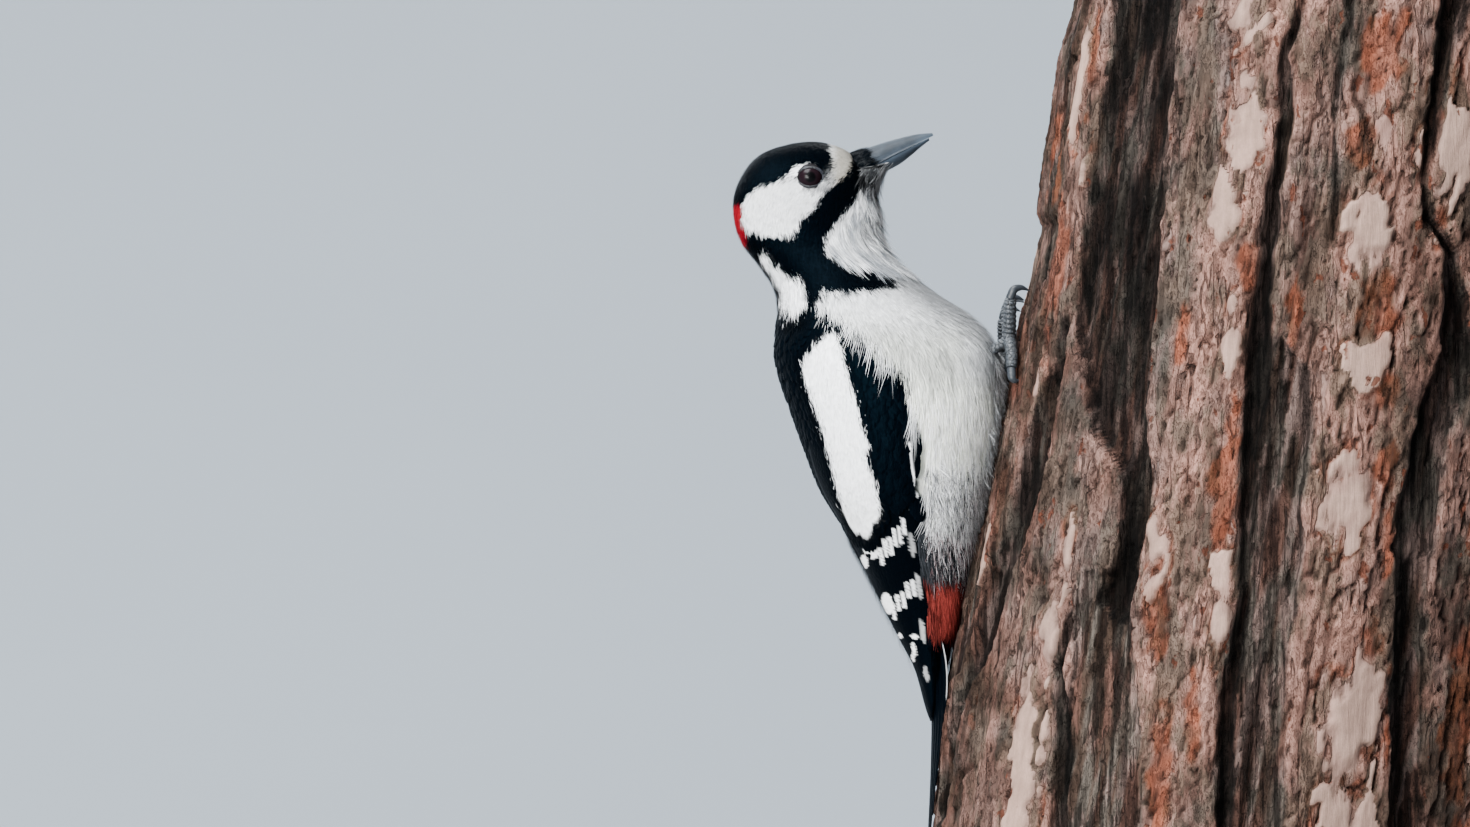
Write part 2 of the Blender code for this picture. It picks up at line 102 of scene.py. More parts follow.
WING_DORSAL_DEG = (50.0, 42.0, 37.0, 33.0, 29.0, 25.0, 9.0, 7.0, 7.0, 9.0)
WING_THICK_AT = (10.0, 12.0, 14.0, 18.0, 21.0, 23.0)
WING_THICK = (1.0, 3.0, 3.4, 2.6, 1.6, 1.0)
HOLLOW_AT = (10.0, 16.0, 18.0, 19.0, 20.0, 21.0)
HOLLOW = (0.0, 0.6, 3.2, 5.4, 6.2, 6.6)
SKIN_DEPTH_AT = (0.0, 1.0, 4.0, 7.0, 10.0, 14.0, 18.0, 20.0)
SKIN_DEPTH = (0.5, 0.9, 1.2, 1.8, 2.4, 2.8, 2.2, 1.6)
SKIN_END = 20.35

EYE, EYE_RADIUS = np.array([-119.1, 9.5, 253.6]), 4.2
LID_HALF = (3.95, 2.95)

ACROSS = np.array([0, 1.0, 0])
BILL_ROOT, BILL_PITCH = np.array([-105.3, 0.0, 257.5]), math.radians(23.2)
BILL_AHEAD = np.array([math.cos(BILL_PITCH), 0, math.sin(BILL_PITCH)])
BILL_UP = np.array([-math.sin(BILL_PITCH), 0, math.cos(BILL_PITCH)])
BILL_LENGTH, LOWER_BILL_LENGTH = 24.8, 23.2
BILL_AT = (0.0, 5.5, 12.0, 17.0, 21.0, 24.8)
BILL_CULMEN = (3.5, 3.2, 2.6, 1.9, 1.1, -0.2)
BILL_CUTTING_EDGE = (-2.6, -2.3, -1.8, -1.5, -1.3, -1.1)
BILL_KEEL = (-4.2, -5.0, -4.8, -3.6, -2.4, -1.5)
BILL_HALF_WIDTH = (4.6, 4.2, 3.2, 2.4, 1.7, 0.8)

# height, dorsal x, thickness, half width, bend of the edges to the trunk
TAIL = np.array([
    (126.0, -84.6, 3.6, 5.6, 0.4),
    (115.0, -83.6, 3.0, 7.4, 1.4),
    (103.0, -83.2, 2.4, 9.6, 2.4),
    (90.0, -82.8, 1.8, 11.6, 2.4),
    (76.0, -83.0, 1.5, 12.4, 1.6),
    (63.0, -83.5, 1.3, 9.6, 0.8),
    (53.0, -84.0, 1.1, 5.4, 0.3),
    (48.4, -84.2, 0.9, 2.0, 0.0),
])

LOG_RADIUS, LOG_LEAN, LOG_LOW, LOG_HIGH = 90.0, math.radians(9.75), 40.0, 312.0
LOG_FOOT = np.array([-1.1, 0, 0])
LOG_AXIS = np.array([math.sin(LOG_LEAN), 0, math.cos(LOG_LEAN)])
LOG_FACING = np.array([-math.cos(LOG_LEAN), 0, math.sin(LOG_LEAN)])
FOOT_HEIGHT, FOOT_SIDE, FOOT_OFF, LEFT_FOOT_DROP = 192.0, 14.0, 3.7, 3.2
# Toes and leg as (up the log, round it, off it) from the foot's middle, and the toes' radii
DIGITS = {
    "inner": (((0, 0, 0), (3.4, -1.5, 0.6), (6.8, -2.6, 1.2), (9.4, -3.4, 1.6)), (2.0, 1.9, 1.9, 1.7)),
    "middle": (((0, 0, 0), (4.2, 0.9, 0.7), (8.4, 1.7, 1.5), (12.2, 2.2, 2.1)), (2.1, 2.0, 1.9, 1.7)),
    "outer": (((0, 0, 0), (-1.6, 3.4, -0.1), (-4.6, 6.2, -0.3), (-8.2, 7.6, -0.5)), (2.0, 1.9, 1.8, 1.7)),
    "hind": (((0, 0, 0), (-3.2, -1.8, -0.9), (-6.0, -3.4, -1.8)), (1.6, 1.4, 1.2)),
}
TARSUS = ((0, 0, 0), (-3.2, -0.4, 3.4), (-7.0, -0.8, 7.6), (-10.0, -1.0, 11.0))
TARSUS_RADII = (1.9, 1.5, 1.4, 1.4)
# A claw's share of its reach, and of the way down to the bark, at points along it, and its radius there
CLAW_ARCH = np.array([(-0.45, -0.05), (0.0, 0.0), (0.68, 0.10), (1.0, 0.48), (0.80, 1.0)])
CLAW_REACH, CLAW_RADII = 2.8, (1.3, 1.35, 1.3, 0.85, 0.12)
THIGH_CENTRE, THIGH_SIZE = np.array([-71.0, 14.5, 200.0]), np.array([8.0, 6.4, 9.5])
SIDES = ((-1, "right"), (1, "left"))

# ---------------------------------------------------------------- markings, as outlines of (x, z)
CHEEK = (
    (-113.8, 267.0), (-106.6, 266.0), (-107.0, 258.0), (-107.8, 254.8), (-111.0, 252.6), (-114.0, 250.0),
    (-116.5, 246.7), (-118.6, 243.3), (-122.4, 240.6), (-122.9, 237.8), (-124.5, 236.0), (-128.5, 235.4),
    (-132.9, 235.3), (-135.8, 237.3), (-138.0, 236.5), (-139.3, 238.4), (-139.8, 244.6), (-138.8, 247.2),
    (-135.5, 249.4), (-128.1, 252.3), (-123.2, 252.9), (-119.7, 251.4), (-114.5, 252.5), (-112.1, 256.1),
    (-113.5, 261.3),
)
BROW = (
    (-127.0, 253.2), (-124.9, 255.9), (-121.6, 257.2), (-119.0, 257.3), (-117.6, 256.6), (-117.6, 255.2),
    (-119.0, 252.0), (-123.5, 252.6),
)
EYE_SHADE = (
    (-122.0, 251.4), (-119.0, 250.7), (-115.6, 251.7), (-114.8, 253.8), (-114.6, 256.4), (-112.6, 255.6),
    (-112.4, 252.8), (-113.6, 250.4), (-115.6, 248.6), (-118.8, 248.2), (-121.6, 249.4),
)
EYE_LINE = ((-122.4, 254.0), (-125.8, 253.2), (-127.6, 252.6), (-125.8, 251.9), (-122.2, 252.1))
NAPE_RED = (
    (-150.0, 244.9), (-139.8, 244.7), (-139.7, 240.0), (-139.1, 236.5), (-138.4, 233.0), (-141.0, 231.4),
    (-150.0, 232.0),
)
NECK_PATCH = (
    (-134.0, 230.0), (-132.0, 230.0), (-130.9, 226.2), (-126.0, 223.4), (-121.4, 222.0), (-120.6, 218.0),
    (-120.9, 213.8), (-124.1, 211.6), (-128.0, 211.0), (-127.8, 218.2), (-128.9, 220.6), (-132.2, 225.2),
    (-134.5, 228.4),
)
UNDERPARTS = (
    (-96.0, 257.0), (-101.0, 252.9), (-103.6, 250.4), (-105.0, 246.6), (-108.4, 242.4), (-111.8, 238.4),
    (-114.4, 234.4), (-114.4, 230.4), (-111.2, 228.6), (-105.6, 228.2), (-97.7, 225.6), (-90.0, 220.6),
    (-98.4, 219.2), (-107.4, 218.2), (-115.6, 218.2), (-117.6, 212.9), (-110.4, 210.2), (-104.4, 206.9),
    (-100.2, 203.4), (-94.8, 199.0), (-90.8, 197.0), (-89.6, 192.1), (-89.8, 187.2), (-88.4, 179.0),
    (-87.0, 166.0), (-86.2, 152.0), (-85.6, 145.5), (-82.0, 142.5), (-62.0, 141.0), (-50.0, 160.0),
    (-50.0, 257.0),
)
VENT_DARK = ((-90.0, 147.0), (-78.0, 145.0), (-60.0, 143.0), (-60.0, 130.5), (-88.0, 133.0))
UNDERTAIL_RED = ((-84.4, 132.5), (-77.0, 133.5), (-60.0, 132.0), (-60.0, 115.5), (-82.8, 115.5))
SCAPULAR_PATCH = (
    (-112.3, 207.4), (-110.2, 202.1), (-108.2, 194.8), (-106.2, 188.7), (-104.7, 182.4), (-103.7, 177.6),
    (-101.4, 173.2), (-103.0, 170.6), (-101.6, 166.0), (-99.6, 160.4), (-98.6, 156.0), (-98.4, 153.0),
    (-99.2, 150.9), (-100.6, 150.4), (-100.9, 147.8), (-102.2, 145.6), (-103.7, 146.2), (-104.3, 147.3),
    (-105.6, 146.9), (-107.4, 149.4), (-109.2, 153.2), (-111.4, 161.2), (-113.4, 169.4), (-115.6, 178.0),
    (-118.1, 185.2), (-120.4, 191.2), (-121.5, 196.0), (-121.0, 199.0), (-117.6, 203.0),
)

# linear colours
BLACK = np.array([0.0003, 0.0008, 0.0015])
WHITE = np.array([0.92, 0.93, 0.94])
CREAM = np.array([0.74, 0.75, 0.70])
BUFF = np.array([0.30, 0.28, 0.24])
GREY = np.array([0.40, 0.41, 0.42])
CRIMSON = np.array([0.20, 0.0015, 0.008])
BRICK = np.array([0.285, 0.042, 0.034])
SOOT = np.array([0.020, 0.022, 0.025])


# ---------------------------------------------------------------- shapes
def curve_through(values, at):
    """Cubic Hermite curve through rows of values, at fractional row numbers, with central slopes."""
    values = np.asarray(values, float)
    at = np.clip(np.asarray(at, float), 0, len(values) - 1)
    low = np.minimum(at.astype(int), len(values) - 2)
    share = (at - low)[..., None] if values.ndim > 1 else at - low
    slopes = np.gradient(values, axis=0)
    start, end = values[low], values[low + 1]
    square, cube = share**2, share**3
    return (
        (2 * cube - 3 * square + 1) * start
        + (cube - 2 * square + share) * slopes[low]
        + (3 * square - 2 * cube) * end
        + (cube - square) * slopes[low + 1]
    )


def envelope(station, angle, inward=0.0):
    """Points on the bird's envelope: the widest place of the slice plus the cosine share of the way to its
    outline and the half width times the sine of the angle, moved inward towards that widest place."""
    station, angle, inward = np.broadcast_arrays(station, angle, inward)
    row = curve_through(STATIONS, station)
    dorsal, ventral = row[..., 0:2], row[..., 2:4]
    middle = dorsal + (ventral - dorsal) * row[..., 5:6]
    cosine = np.cos(angle)[..., None]
    reach = np.where(cosine > 0, dorsal - middle, ventral - middle) * np.abs(cosine)
    side = row[..., 4] * np.sin(angle)
    length = np.sqrt((reach**2).sum(-1) + side**2)
    keep = 1 - np.minimum(inward / np.maximum(length, 1e-6), 0.9)
    flat = middle + reach * keep[..., None]
    return np.stack([flat[..., 0], side * keep, flat[..., 1]], -1)


def tail_sheet(height, across, inward=0.0):
    """Points on the tail at a height and a distance across from its middle: at the tail's dorsal x, moved
    to the trunk by the bend times the square of the share of the half width, at most 4.6 mm."""
    height, across, inward = np.broadcast_arrays(height, across, inward)
    row = curve_through(TAIL, np.interp(-height, -TAIL[:, 0], np.arange(len(TAIL))))
    bend = row[..., 4] * (across / np.maximum(row[..., 3], 1.0)) ** 2
    return np.stack([row[..., 1] + np.minimum(bend, 4.6) + inward, across, height], -1)


def bill_skin(along, angle, outward=0.0):
    """Points on the upper bill (angle 0 to pi, from the left over the culmen) and the lower (pi to 2 pi).

    Across it is the half width times the cosine of the angle, and upwards the cutting edge plus the way
    from there to the culmen or the keel times the sine to the power 0.85."""
    along, angle, outward = np.broadcast_arrays(along, angle, outward)
    at = np.interp(along, BILL_AT, np.arange(len(BILL_AT)))
    edge = curve_through(BILL_CUTTING_EDGE, at)
    limit = np.where(np.sin(angle) >= 0, curve_through(BILL_CULMEN, at), curve_through(BILL_KEEL, at))
    half = curve_through(BILL_HALF_WIDTH, at)
    rise = np.abs(np.sin(angle)) ** 0.85 * (limit - edge) + np.sin(angle) * outward
    across = (half + outward) * np.cos(angle)
    points = BILL_ROOT + along[..., None] * BILL_AHEAD + (edge + rise)[..., None] * BILL_UP
    return points + across[..., None] * ACROSS


def log_spoke(turn):
    """Directions square to the log's axis, at a turn from its line nearest the bird."""
    return LOG_FACING * np.cos(turn)[..., None] + ACROSS * np.sin(turn)[..., None]


def on_log(up, outwards, off, side=1):
    """Points by the height along the log, the distance round it from its line nearest the bird, and the
    distance off the crests of its bark."""
    up, outwards, off = np.broadcast_arrays(np.asarray(up, float), outwards, off)
    spoke = log_spoke(side * outwards / LOG_RADIUS)
    return LOG_FOOT + LOG_AXIS * up[..., None] + spoke * (LOG_RADIUS + off)[..., None]


def inside(x, z, outline):
    """Signed distance in mm to a closed outline, positive inside it."""
    points = np.asarray(outline, float)
    place = np.stack([x, z], -1)[..., None, :]
    start, end = points, np.roll(points, -1, axis=0)
    edge = end - start
    share = ((place - start) * edge).sum(-1) / (edge**2).sum(-1)
    gap = place - (start + np.clip(share, 0, 1)[..., None] * edge)
    distance = np.sqrt((gap**2).sum(-1)).min(-1)
    high, low = np.maximum(start[:, 1], end[:, 1]), np.minimum(start[:, 1], end[:, 1])
    z = place[..., 1]
    crosses = (z >= low) & (z < high)
    with np.errstate(divide="ignore", invalid="ignore"):
        at = start[:, 0] + (z - start[:, 1]) * edge[:, 0] / edge[:, 1]
    odd = (crosses & (place[..., 0] < at)).sum(-1) % 2 == 1
    return np.where(odd, distance, -distance)


def depth_in(points, outline):
    """Signed distance in mm of points on the bird to an outline, as seen from the side."""
    return inside(points[..., 0], points[..., 2], outline)


def smooth(low, high, value):
    """0 below low and 1 above high, eased between them."""
    share = np.clip((value - low) / (high - low), 0, 1)
    return share * share * (3 - 2 * share)


def blend(first, second, share):
    """The first colour, or a row of colours, taken towards the second by a share."""
    return first + (second - first) * np.asarray(share)[..., None]


def noise(u, v, cells, seed, wrap):
    """Smooth random values from 0 to 1 on a lattice of cells in (u, v), repeating in u after wrap cells."""
    u, v = u * cells[0], v * cells[1]
    left, low = np.floor(u).astype(int), np.floor(v).astype(int)
    table = np.random.default_rng(seed).random((256, 256))
    right_share, top_share = ((share * share * (3 - 2 * share)) for share in (u - left, v - low))
    left, right = left % wrap, (left + 1) % wrap
    corner = lambda column, row: table[column % 256, row % 256]
    bottom = corner(left, low) * (1 - right_share) + corner(right, low) * right_share
    top = corner(left, low + 1) * (1 - right_share) + corner(right, low + 1) * right_share
    return bottom * (1 - top_share) + top * top_share


def plumage(points, ragged):
    """Colour of the plumage at points, and its gloss: that of the last marking that holds the point, else
    black. The borders are moved by random amounts, so that they fray as feathers do."""
    x, z = points[..., 0], points[..., 2]
    shape = x.shape
    x = x + rng.normal(0, ragged, shape)
    z = z + rng.normal(0, ragged * 1.3, shape)
    colour = np.broadcast_to(BLACK, (*shape, 3)).copy()
    gloss = np.full(shape, 1.0)

    def paint(share, tint, shine):
        """Takes the colour towards a tint, and the gloss towards a shine, by a share."""
        nonlocal colour, gloss
        share = np.clip(share, 0, 1)
        colour = blend(colour, tint, share)
        gloss = gloss + (shine - gloss) * share

    crisp = lambda outline: smooth(-0.35, 0.35, inside(x, z, outline))
    breast = blend(WHITE * 0.66, CREAM * 0.70, smooth(216, 202, z) * smooth(-68, -80, x))
    # Cream of the feathers' own, and painted light: below 200 mm the cream is raised past its own
    # brightness, for the light thrown up onto the belly from below.
    breast = blend(breast, CREAM * (1.40, 1.40, 1.36), smooth(200, 184, z))
    # Painted shade: grey along the breast's front outline, where its far side turns into shadow.
    contour = ((-130, 226), (-91, 226), (-66, 210), (-62, 196), (-62, 150), (-130, 150))
    painted_contour_shade = smooth(11.0, 1.5, inside(x, z, contour)) * smooth(182, 200, z) * smooth(-104, -90, x)
    breast = blend(breast, GREY * 0.45, 0.9 * painted_contour_shade)
    breast = blend(breast, GREY * 1.5, 0.8 * smooth(166, 144, z))
    breast = blend(breast, GREY * 0.95, 0.65 * smooth(228, 242, z) * smooth(-114, -103, x))
    breast = blend(breast, GREY * 0.22, 0.9 * smooth(10.0, 3.0, np.hypot(x + 100.5, z - 253.5)))
    paint(crisp(UNDERPARTS), breast, 0.0)
    paint(crisp(CHEEK), blend(WHITE * 0.74, BUFF, smooth(-115.5, -110.5, x) * smooth(246, 253, z)), 0.0)
    paint(crisp(BROW), WHITE, 0.0)
    paint(crisp(NECK_PATCH), WHITE, 0.0)
    paint(crisp(NAPE_RED), CRIMSON, 0.2)
    paint((0.35 + 0.65 * rng.random(shape)) * crisp(EYE_SHADE), GREY * 0.16, 0.0)
    paint(crisp(EYE_LINE), SOOT * 0.3, 0.0)
    paint(crisp(VENT_DARK), SOOT, 0.0)
    shaded = np.maximum(smooth(3.0, 0.4, inside(x, z, UNDERTAIL_RED)), smooth(-77.5, -73.0, x))
    paint(crisp(UNDERTAIL_RED), blend(BRICK, BRICK * 0.22, 0.85 * shaded), 0.1)
    return colour, gloss


# ---------------------------------------------------------------- meshes
def mesh_object(name, points, faces, uv, tint=None, gloss=None):
    """A piece from arrays: points in mm, faces of three or four corners, and per-point colour and map."""
    corners = faces.shape[1]
    mesh = bpy.data.meshes.new(name)
    mesh.vertices.add(len(points))
    mesh.vertices.foreach_set("co", (np.asarray(points, np.float32) * MM).ravel())
    mesh.loops.add(faces.size)
    mesh.loops.foreach_set("vertex_index", faces.astype(np.int32).ravel())
    mesh.polygons.add(len(faces))
    mesh.polygons.foreach_set("loop_start", np.arange(0, faces.size, corners, dtype=np.int32))
    mesh.update(calc_edges=True)
    if tint is not None:
        layer = mesh.color_attributes.new("tint", "FLOAT_COLOR", "POINT")
        alpha = np.ones((len(points), 1)) if gloss is None else gloss.reshape(-1, 1)
        layer.data.foreach_set("color", np.hstack([tint, alpha]).astype(np.float32).ravel())
    layer = mesh.uv_layers.new(name="OFBake")
    layer.data.foreach_set("uv", np.asarray(uv, np.float32)[faces.ravel()].ravel())
    mesh.shade_smooth()
    obj = bpy.data.objects.new(name, mesh)
    bpy.context.scene.collection.objects.link(obj)
    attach(obj, "root")
    return obj


def dress(obj, look, slot, *replaced):
    """Gives a piece its look, and hides the imported nodes that it stands for. The slot is not used."""
    obj.data.materials.append(look)
    if replaced:
        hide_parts(*replaced)


def grid_faces(rows, columns, closed=False):
    """Four-cornered faces of a grid of rows by columns, its last column joined to its first if closed."""
    index = np.arange(rows * columns).reshape(rows, columns)
    after = np.roll(index, -1, axis=1)
    faces = np.stack([index[:-1], after[:-1], after[1:], index[1:]], -1)
    return (faces if closed else faces[:, :-1]).reshape(-1, 4)


def halves(quads):
    """Four-cornered faces as two triangles each."""
    return np.concatenate([quads[:, (0, 1, 2)], quads[:, (0, 2, 3)]])


def ring_fans(rows, columns, poles=2):
    """Triangles that close a loft of rings: the first ring fanned to the point after the grid's last one,
    and with two poles the last ring to the point after that."""
    ring, far = np.arange(columns), (rows - 1) * columns
    after, pole = np.roll(ring, -1), np.full(columns, rows * columns)
    fans = [np.stack([pole, after, ring], -1), np.stack([pole + 1, far + ring, far + after], -1)]
    return np.concatenate(fans[:poles])


def ring_triangles(rows, columns, poles=2):
    """Triangles of a closed loft of rings with its fans."""
    return np.concatenate([halves(grid_faces(rows, columns, closed=True)), ring_fans(rows, columns, poles)])


def double_sheet(rows, columns):
    """Faces of a sheet of two layers, the second layer's points after the first's, walled at the rim."""
    faces, per = grid_faces(rows, columns), rows * columns
    index = np.arange(per).reshape(rows, columns)
    rim = np.concatenate([index[0], index[1:, -1], index[-1, -2::-1], index[-2:0:-1, 0]])
    after = np.roll(rim, -1)
    wall = np.stack([rim, rim + per, after + per, after], -1)
    return np.concatenate([faces, faces[:, ::-1] + per, wall])


def chart_map(station, angle):
    """Place on the unwrap of the skin, 0 to 1 each way."""
    station, angle = np.broadcast_arrays(station, angle)
    return np.stack([0.02 + 0.95 * (angle / (2 * math.pi) + 0.5), 0.02 + 0.94 * station / LAST], -1)


def local_frame(surface, first, second):
    """Scale and shear of a surface's chart at places, so that steps in mm can be turned into chart steps.

    Returns the length of a unit step of the first coordinate, the across part of one of the second, and
    the ratio of the second's along part to its across part, all from small steps to both sides."""
    step, swing = 0.04, 0.015
    along = (surface(first + step, second) - surface(first - step, second)) / (2 * step)
    other = (surface(first, second + swing) - surface(first, second - swing)) / (2 * swing)
    length = np.linalg.norm(along, axis=-1)
    tangent = along / np.maximum(length, 1e-6)[..., None]
    shared = (other * tangent).sum(-1)
    across = np.linalg.norm(other - shared[..., None] * tangent, axis=-1)
    return np.maximum(length, 1.5), np.maximum(across, 1.0), shared / np.maximum(across, 1.0)


def chart_steps(surface, first, second, turn, forward, sideways):
    """Chart places after steps in mm forward and sideways from roots, turned by an angle from the lie."""
    wide = lambda values: values.reshape(values.shape + (1,) * (forward.ndim - 1))
    length, across, shear = (wide(values) for values in local_frame(surface, first, second))
    first, second, turn = wide(first), wide(second), wide(turn)
    ahead = forward * np.cos(turn) - sideways * np.sin(turn)
    beside = forward * np.sin(turn) + sideways * np.cos(turn)
    return first + (ahead - beside * shear) / length, second + beside / across


def tufts(name, slot, surface, roots, length, width, strands=7, levels=4, strand_width=0.3, root_depth=1.8,
          tip_depth=(0.0, 0.35), turn=0.0, colour=None, paint=None, shade=0.08, chart=chart_map):
    """Tufts of tapered strands on a surface. Colours come from the roots or, with paint, from each point.

    Strand j of a tuft starts at a quarter of its share of the width and fans out to its whole share, at
    v = root + (tip - root) t^1.3 for t from 0 at the root to 1 at the tip. It rises from root_depth to
    tip_depth as (1 - t)^1.6, and its half width falls as (1 - t)^0.6."""
    first, second = roots
    count, fray = len(first), 0.18
    length, width, turn = (np.broadcast_to(values, count) for values in (length, width, turn))
    share, t = np.linspace(-1, 1, strands), np.linspace(0, 1, levels)
    reach_noise, side_noise, bend_noise = rng.normal(0, 1, (3, count, strands))
    reach = length[:, None] * (1 - 0.2 * share**2) * (1 + fray * reach_noise)
    start = 0.25 * width[:, None] * share
    end = 0.5 * width[:, None] * (share + 0.5 * fray * side_noise)
    forward = reach[..., None] * t + 0.12 * length[:, None, None] * bend_noise[..., None] * (1 - t) * 0.5
    sideways = start[..., None] + (end - start)[..., None] * t**1.3
    half = 0.5 * strand_width * (1 - t) ** 0.6 * (1 + 0.2 * side_noise[..., None])
    tips = tip_depth[0] + (tip_depth[1] - tip_depth[0]) * rng.random((count, strands, 1))
    tips = tips + 0.25 * rng.random((count, 1, 1))
    depth = root_depth * (1 - t) ** 1.6 + tips * t
    edges = np.stack([sideways - half, sideways + half], -1)
    forward = np.broadcast_to(forward[..., None], edges.shape)
    places = chart_steps(surface, first, second, turn, forward, edges)

    units, per = count * strands, 2 * levels - 1
    points = surface(*places, depth[..., None]).reshape(units, per + 1, 3)[:, :per]
    triangles = []
    for low in range(0, per - 3, 2):
        triangles += [(low, low + 1, low + 2), (low + 1, low + 3, low + 2)]
    triangles.append((per - 3, per - 2, per - 1))
    vary = np.clip(1 + shade * rng.normal(0, 1, (units, 1)), 0.5, 1.35)[:, None]
    if paint:
        tint, gloss = paint(points, 0.9 * rng.normal(0, 1, (units, 1)))
    else:
        tint, gloss = (np.repeat(values, strands, axis=0)[:, None] for values in colour(first, second))
    steps = np.arange(per)
    spread = np.stack([0.003 * (steps // 2) / levels, 0.003 * (steps % 2) + 0.0002], -1)
    uv = np.repeat(chart(first, second), strands, axis=0)[:, None] + spread
    add_pieces(name, slot, points, np.array(triangles), tint * vary, gloss, uv)


def add_pieces(name, slot, points, faces, tint, gloss, uv, *replaced):
    """Puts many alike sheets in one mesh, or in a few where they pass the limit of faces.

    The arrays have a row for each sheet and a column for each of its points; faces are those of one."""
    units, per = points.shape[:2]
    tint = np.clip(np.broadcast_to(tint, points.shape), 0, 1)
    gloss = np.broadcast_to(gloss, (units, per))
    groups = math.ceil(units * len(faces) / FACE_LIMIT)
    for number, chunk in enumerate(np.array_split(np.arange(units), groups)):
        rows = slice(chunk[0], chunk[-1] + 1)
        obj = mesh_object(
            name if groups == 1 else f"{name}_{number + 1}",
            points[rows].reshape(-1, 3),
            (np.arange(len(chunk))[:, None, None] * per + faces).reshape(-1, faces.shape[1]),
            uv[rows].reshape(-1, 2),
            tint[rows].reshape(-1, 3),
            gloss[rows],
        )
        dress(obj, LOOKS[slot], slot, *replaced)


def rows_on(surface, start, end, along, across, limits):
    """Roots in staggered rows on a surface: rows a distance along apart, roots a distance across apart,
    each moved at random by about a third of that.

    along and across are mm, or functions of the first coordinate that give mm, and limits is the range of
    the second coordinate."""
    jitter, (low, high) = 0.35, limits
    size_at = lambda size, place: size(place) if callable(size) else size
    fine, middle = np.linspace(low, high, 160), 0.5 * (low + high)
    firsts, seconds = [], []
    place, number = start, 0
    while place < end:
        ring = surface(np.full_like(fine, place), fine)
        run = np.concatenate([[0], np.cumsum(np.linalg.norm(np.diff(ring, axis=0), axis=1))])
        gap = size_at(across, place)
        count = max(2, int(run[-1] / gap))
        shares = (np.arange(count) + (0.5 if number % 2 else 0.0) + 0.25) / count * run[-1]
        shares = shares + rng.normal(0, jitter * 0.6, count) * gap
        seconds.append(np.interp(np.clip(shares, 0, run[-1]), run, fine))
        firsts.append(np.full(count, place))
        step = surface(place + 0.05, middle) - surface(place - 0.05, middle)
        place += size_at(along, place) / max(np.linalg.norm(step) * 10, 4.0)
        number += 1
    first, second = np.concatenate(firsts), np.concatenate(seconds)
    size = local_frame(surface, first, second)[0]
    gaps = np.array([size_at(along, at) for at in first])
    return first + rng.normal(0, jitter, len(first)) * gaps / size, second


def chosen(roots, keep):
    """The roots that a mask keeps."""
    return tuple(place[keep] for place in roots)


def vanes(name, slot, roots, length, width, colour, rows=7, columns=6, depth=(1.6, 0.1), point=2.4,
          crown=0.25):
    """Small feather vanes on the body.

    The half width is (0.35 + 0.65 sin(90 deg min(t / 0.4, 1))) sqrt(1 - ((t - 0.4) / 0.6)^point) of half
    the width, for t from root to tip. The vane rises from the first depth to the second as (1 - t)^1.4
    and its edges droop by crown times the square of the place across."""
    first, second = roots
    count = len(first)
    turn = rng.normal(0, 0.1, count)
    length, width = (size * rng.normal(1, 0.05, count)[:, None, None] for size in (length, width))
    t = np.linspace(0, 0.985, rows)[:, None]
    u = np.linspace(-1, 1, columns)
    half = 0.5 * (0.35 + 0.65 * np.sin(math.pi / 2 * np.minimum(t / 0.4, 1)))
    half = half * np.sqrt(1 - np.clip((t - 0.4) / 0.6, 0, 1) ** point)
    uneven = rng.normal(0, 0.03, (count, rows, columns)) * (np.abs(u) > 0.9)
    forward = length * (t + uneven * 0.6 * t)
    sideways = width * half * (u + uneven)
    sink = depth[1] + (depth[0] - depth[1]) * (1 - t) ** 1.4 + crown * u**2
    points = body(*chart_steps(body, first, second, turn, forward, sideways), sink)
    tint, gloss = colour(points, u)
    spread = np.stack(np.broadcast_arrays(0.003 * t, 0.0015 * (u + 1)), -1)
    uv = chart_map(first, second)[:, None, None] + spread
    flat = lambda values: values.reshape(count, rows * columns, *values.shape[3:])
    faces = grid_faces(rows, columns)[:, ::-1]
    add_pieces(name, slot, flat(points), faces, flat(tint), flat(gloss), flat(uv))


# ---------------------------------------------------------------- looks
class Field:
    """A number or a colour that varies over a surface: an output of a shader tree, with arithmetic."""

    def __init__(self, look, socket):
        self.look, self.socket = look, socket

    def _math(self, operation, *values):
        return self.look.node("ShaderNodeMath", {"operation": operation}, dict(enumerate(values)))

    def __add__(self, other):
        return self._math("ADD", self, other)

    def __radd__(self, other):
        return self._math("ADD", other, self)

    def __sub__(self, other):
        return self._math("SUBTRACT", self, other)

    def __rsub__(self, other):
        return self._math("SUBTRACT", other, self)

    def __mul__(self, other):
        return self._math("MULTIPLY", self, other)

    def __rmul__(self, other):
        return self._math("MULTIPLY", other, self)

    def __truediv__(self, other):
        return self._math("DIVIDE", self, other)

    def __pow__(self, other):
        return self._math("POWER", self, other)

    def eased(self, low, high):
        """0 below low and 1 above high."""
        settings = {"interpolation_type": "SMOOTHSTEP"}
        return self.look.node("ShaderNodeMapRange", settings, {0: self, 1: low, 2: high})


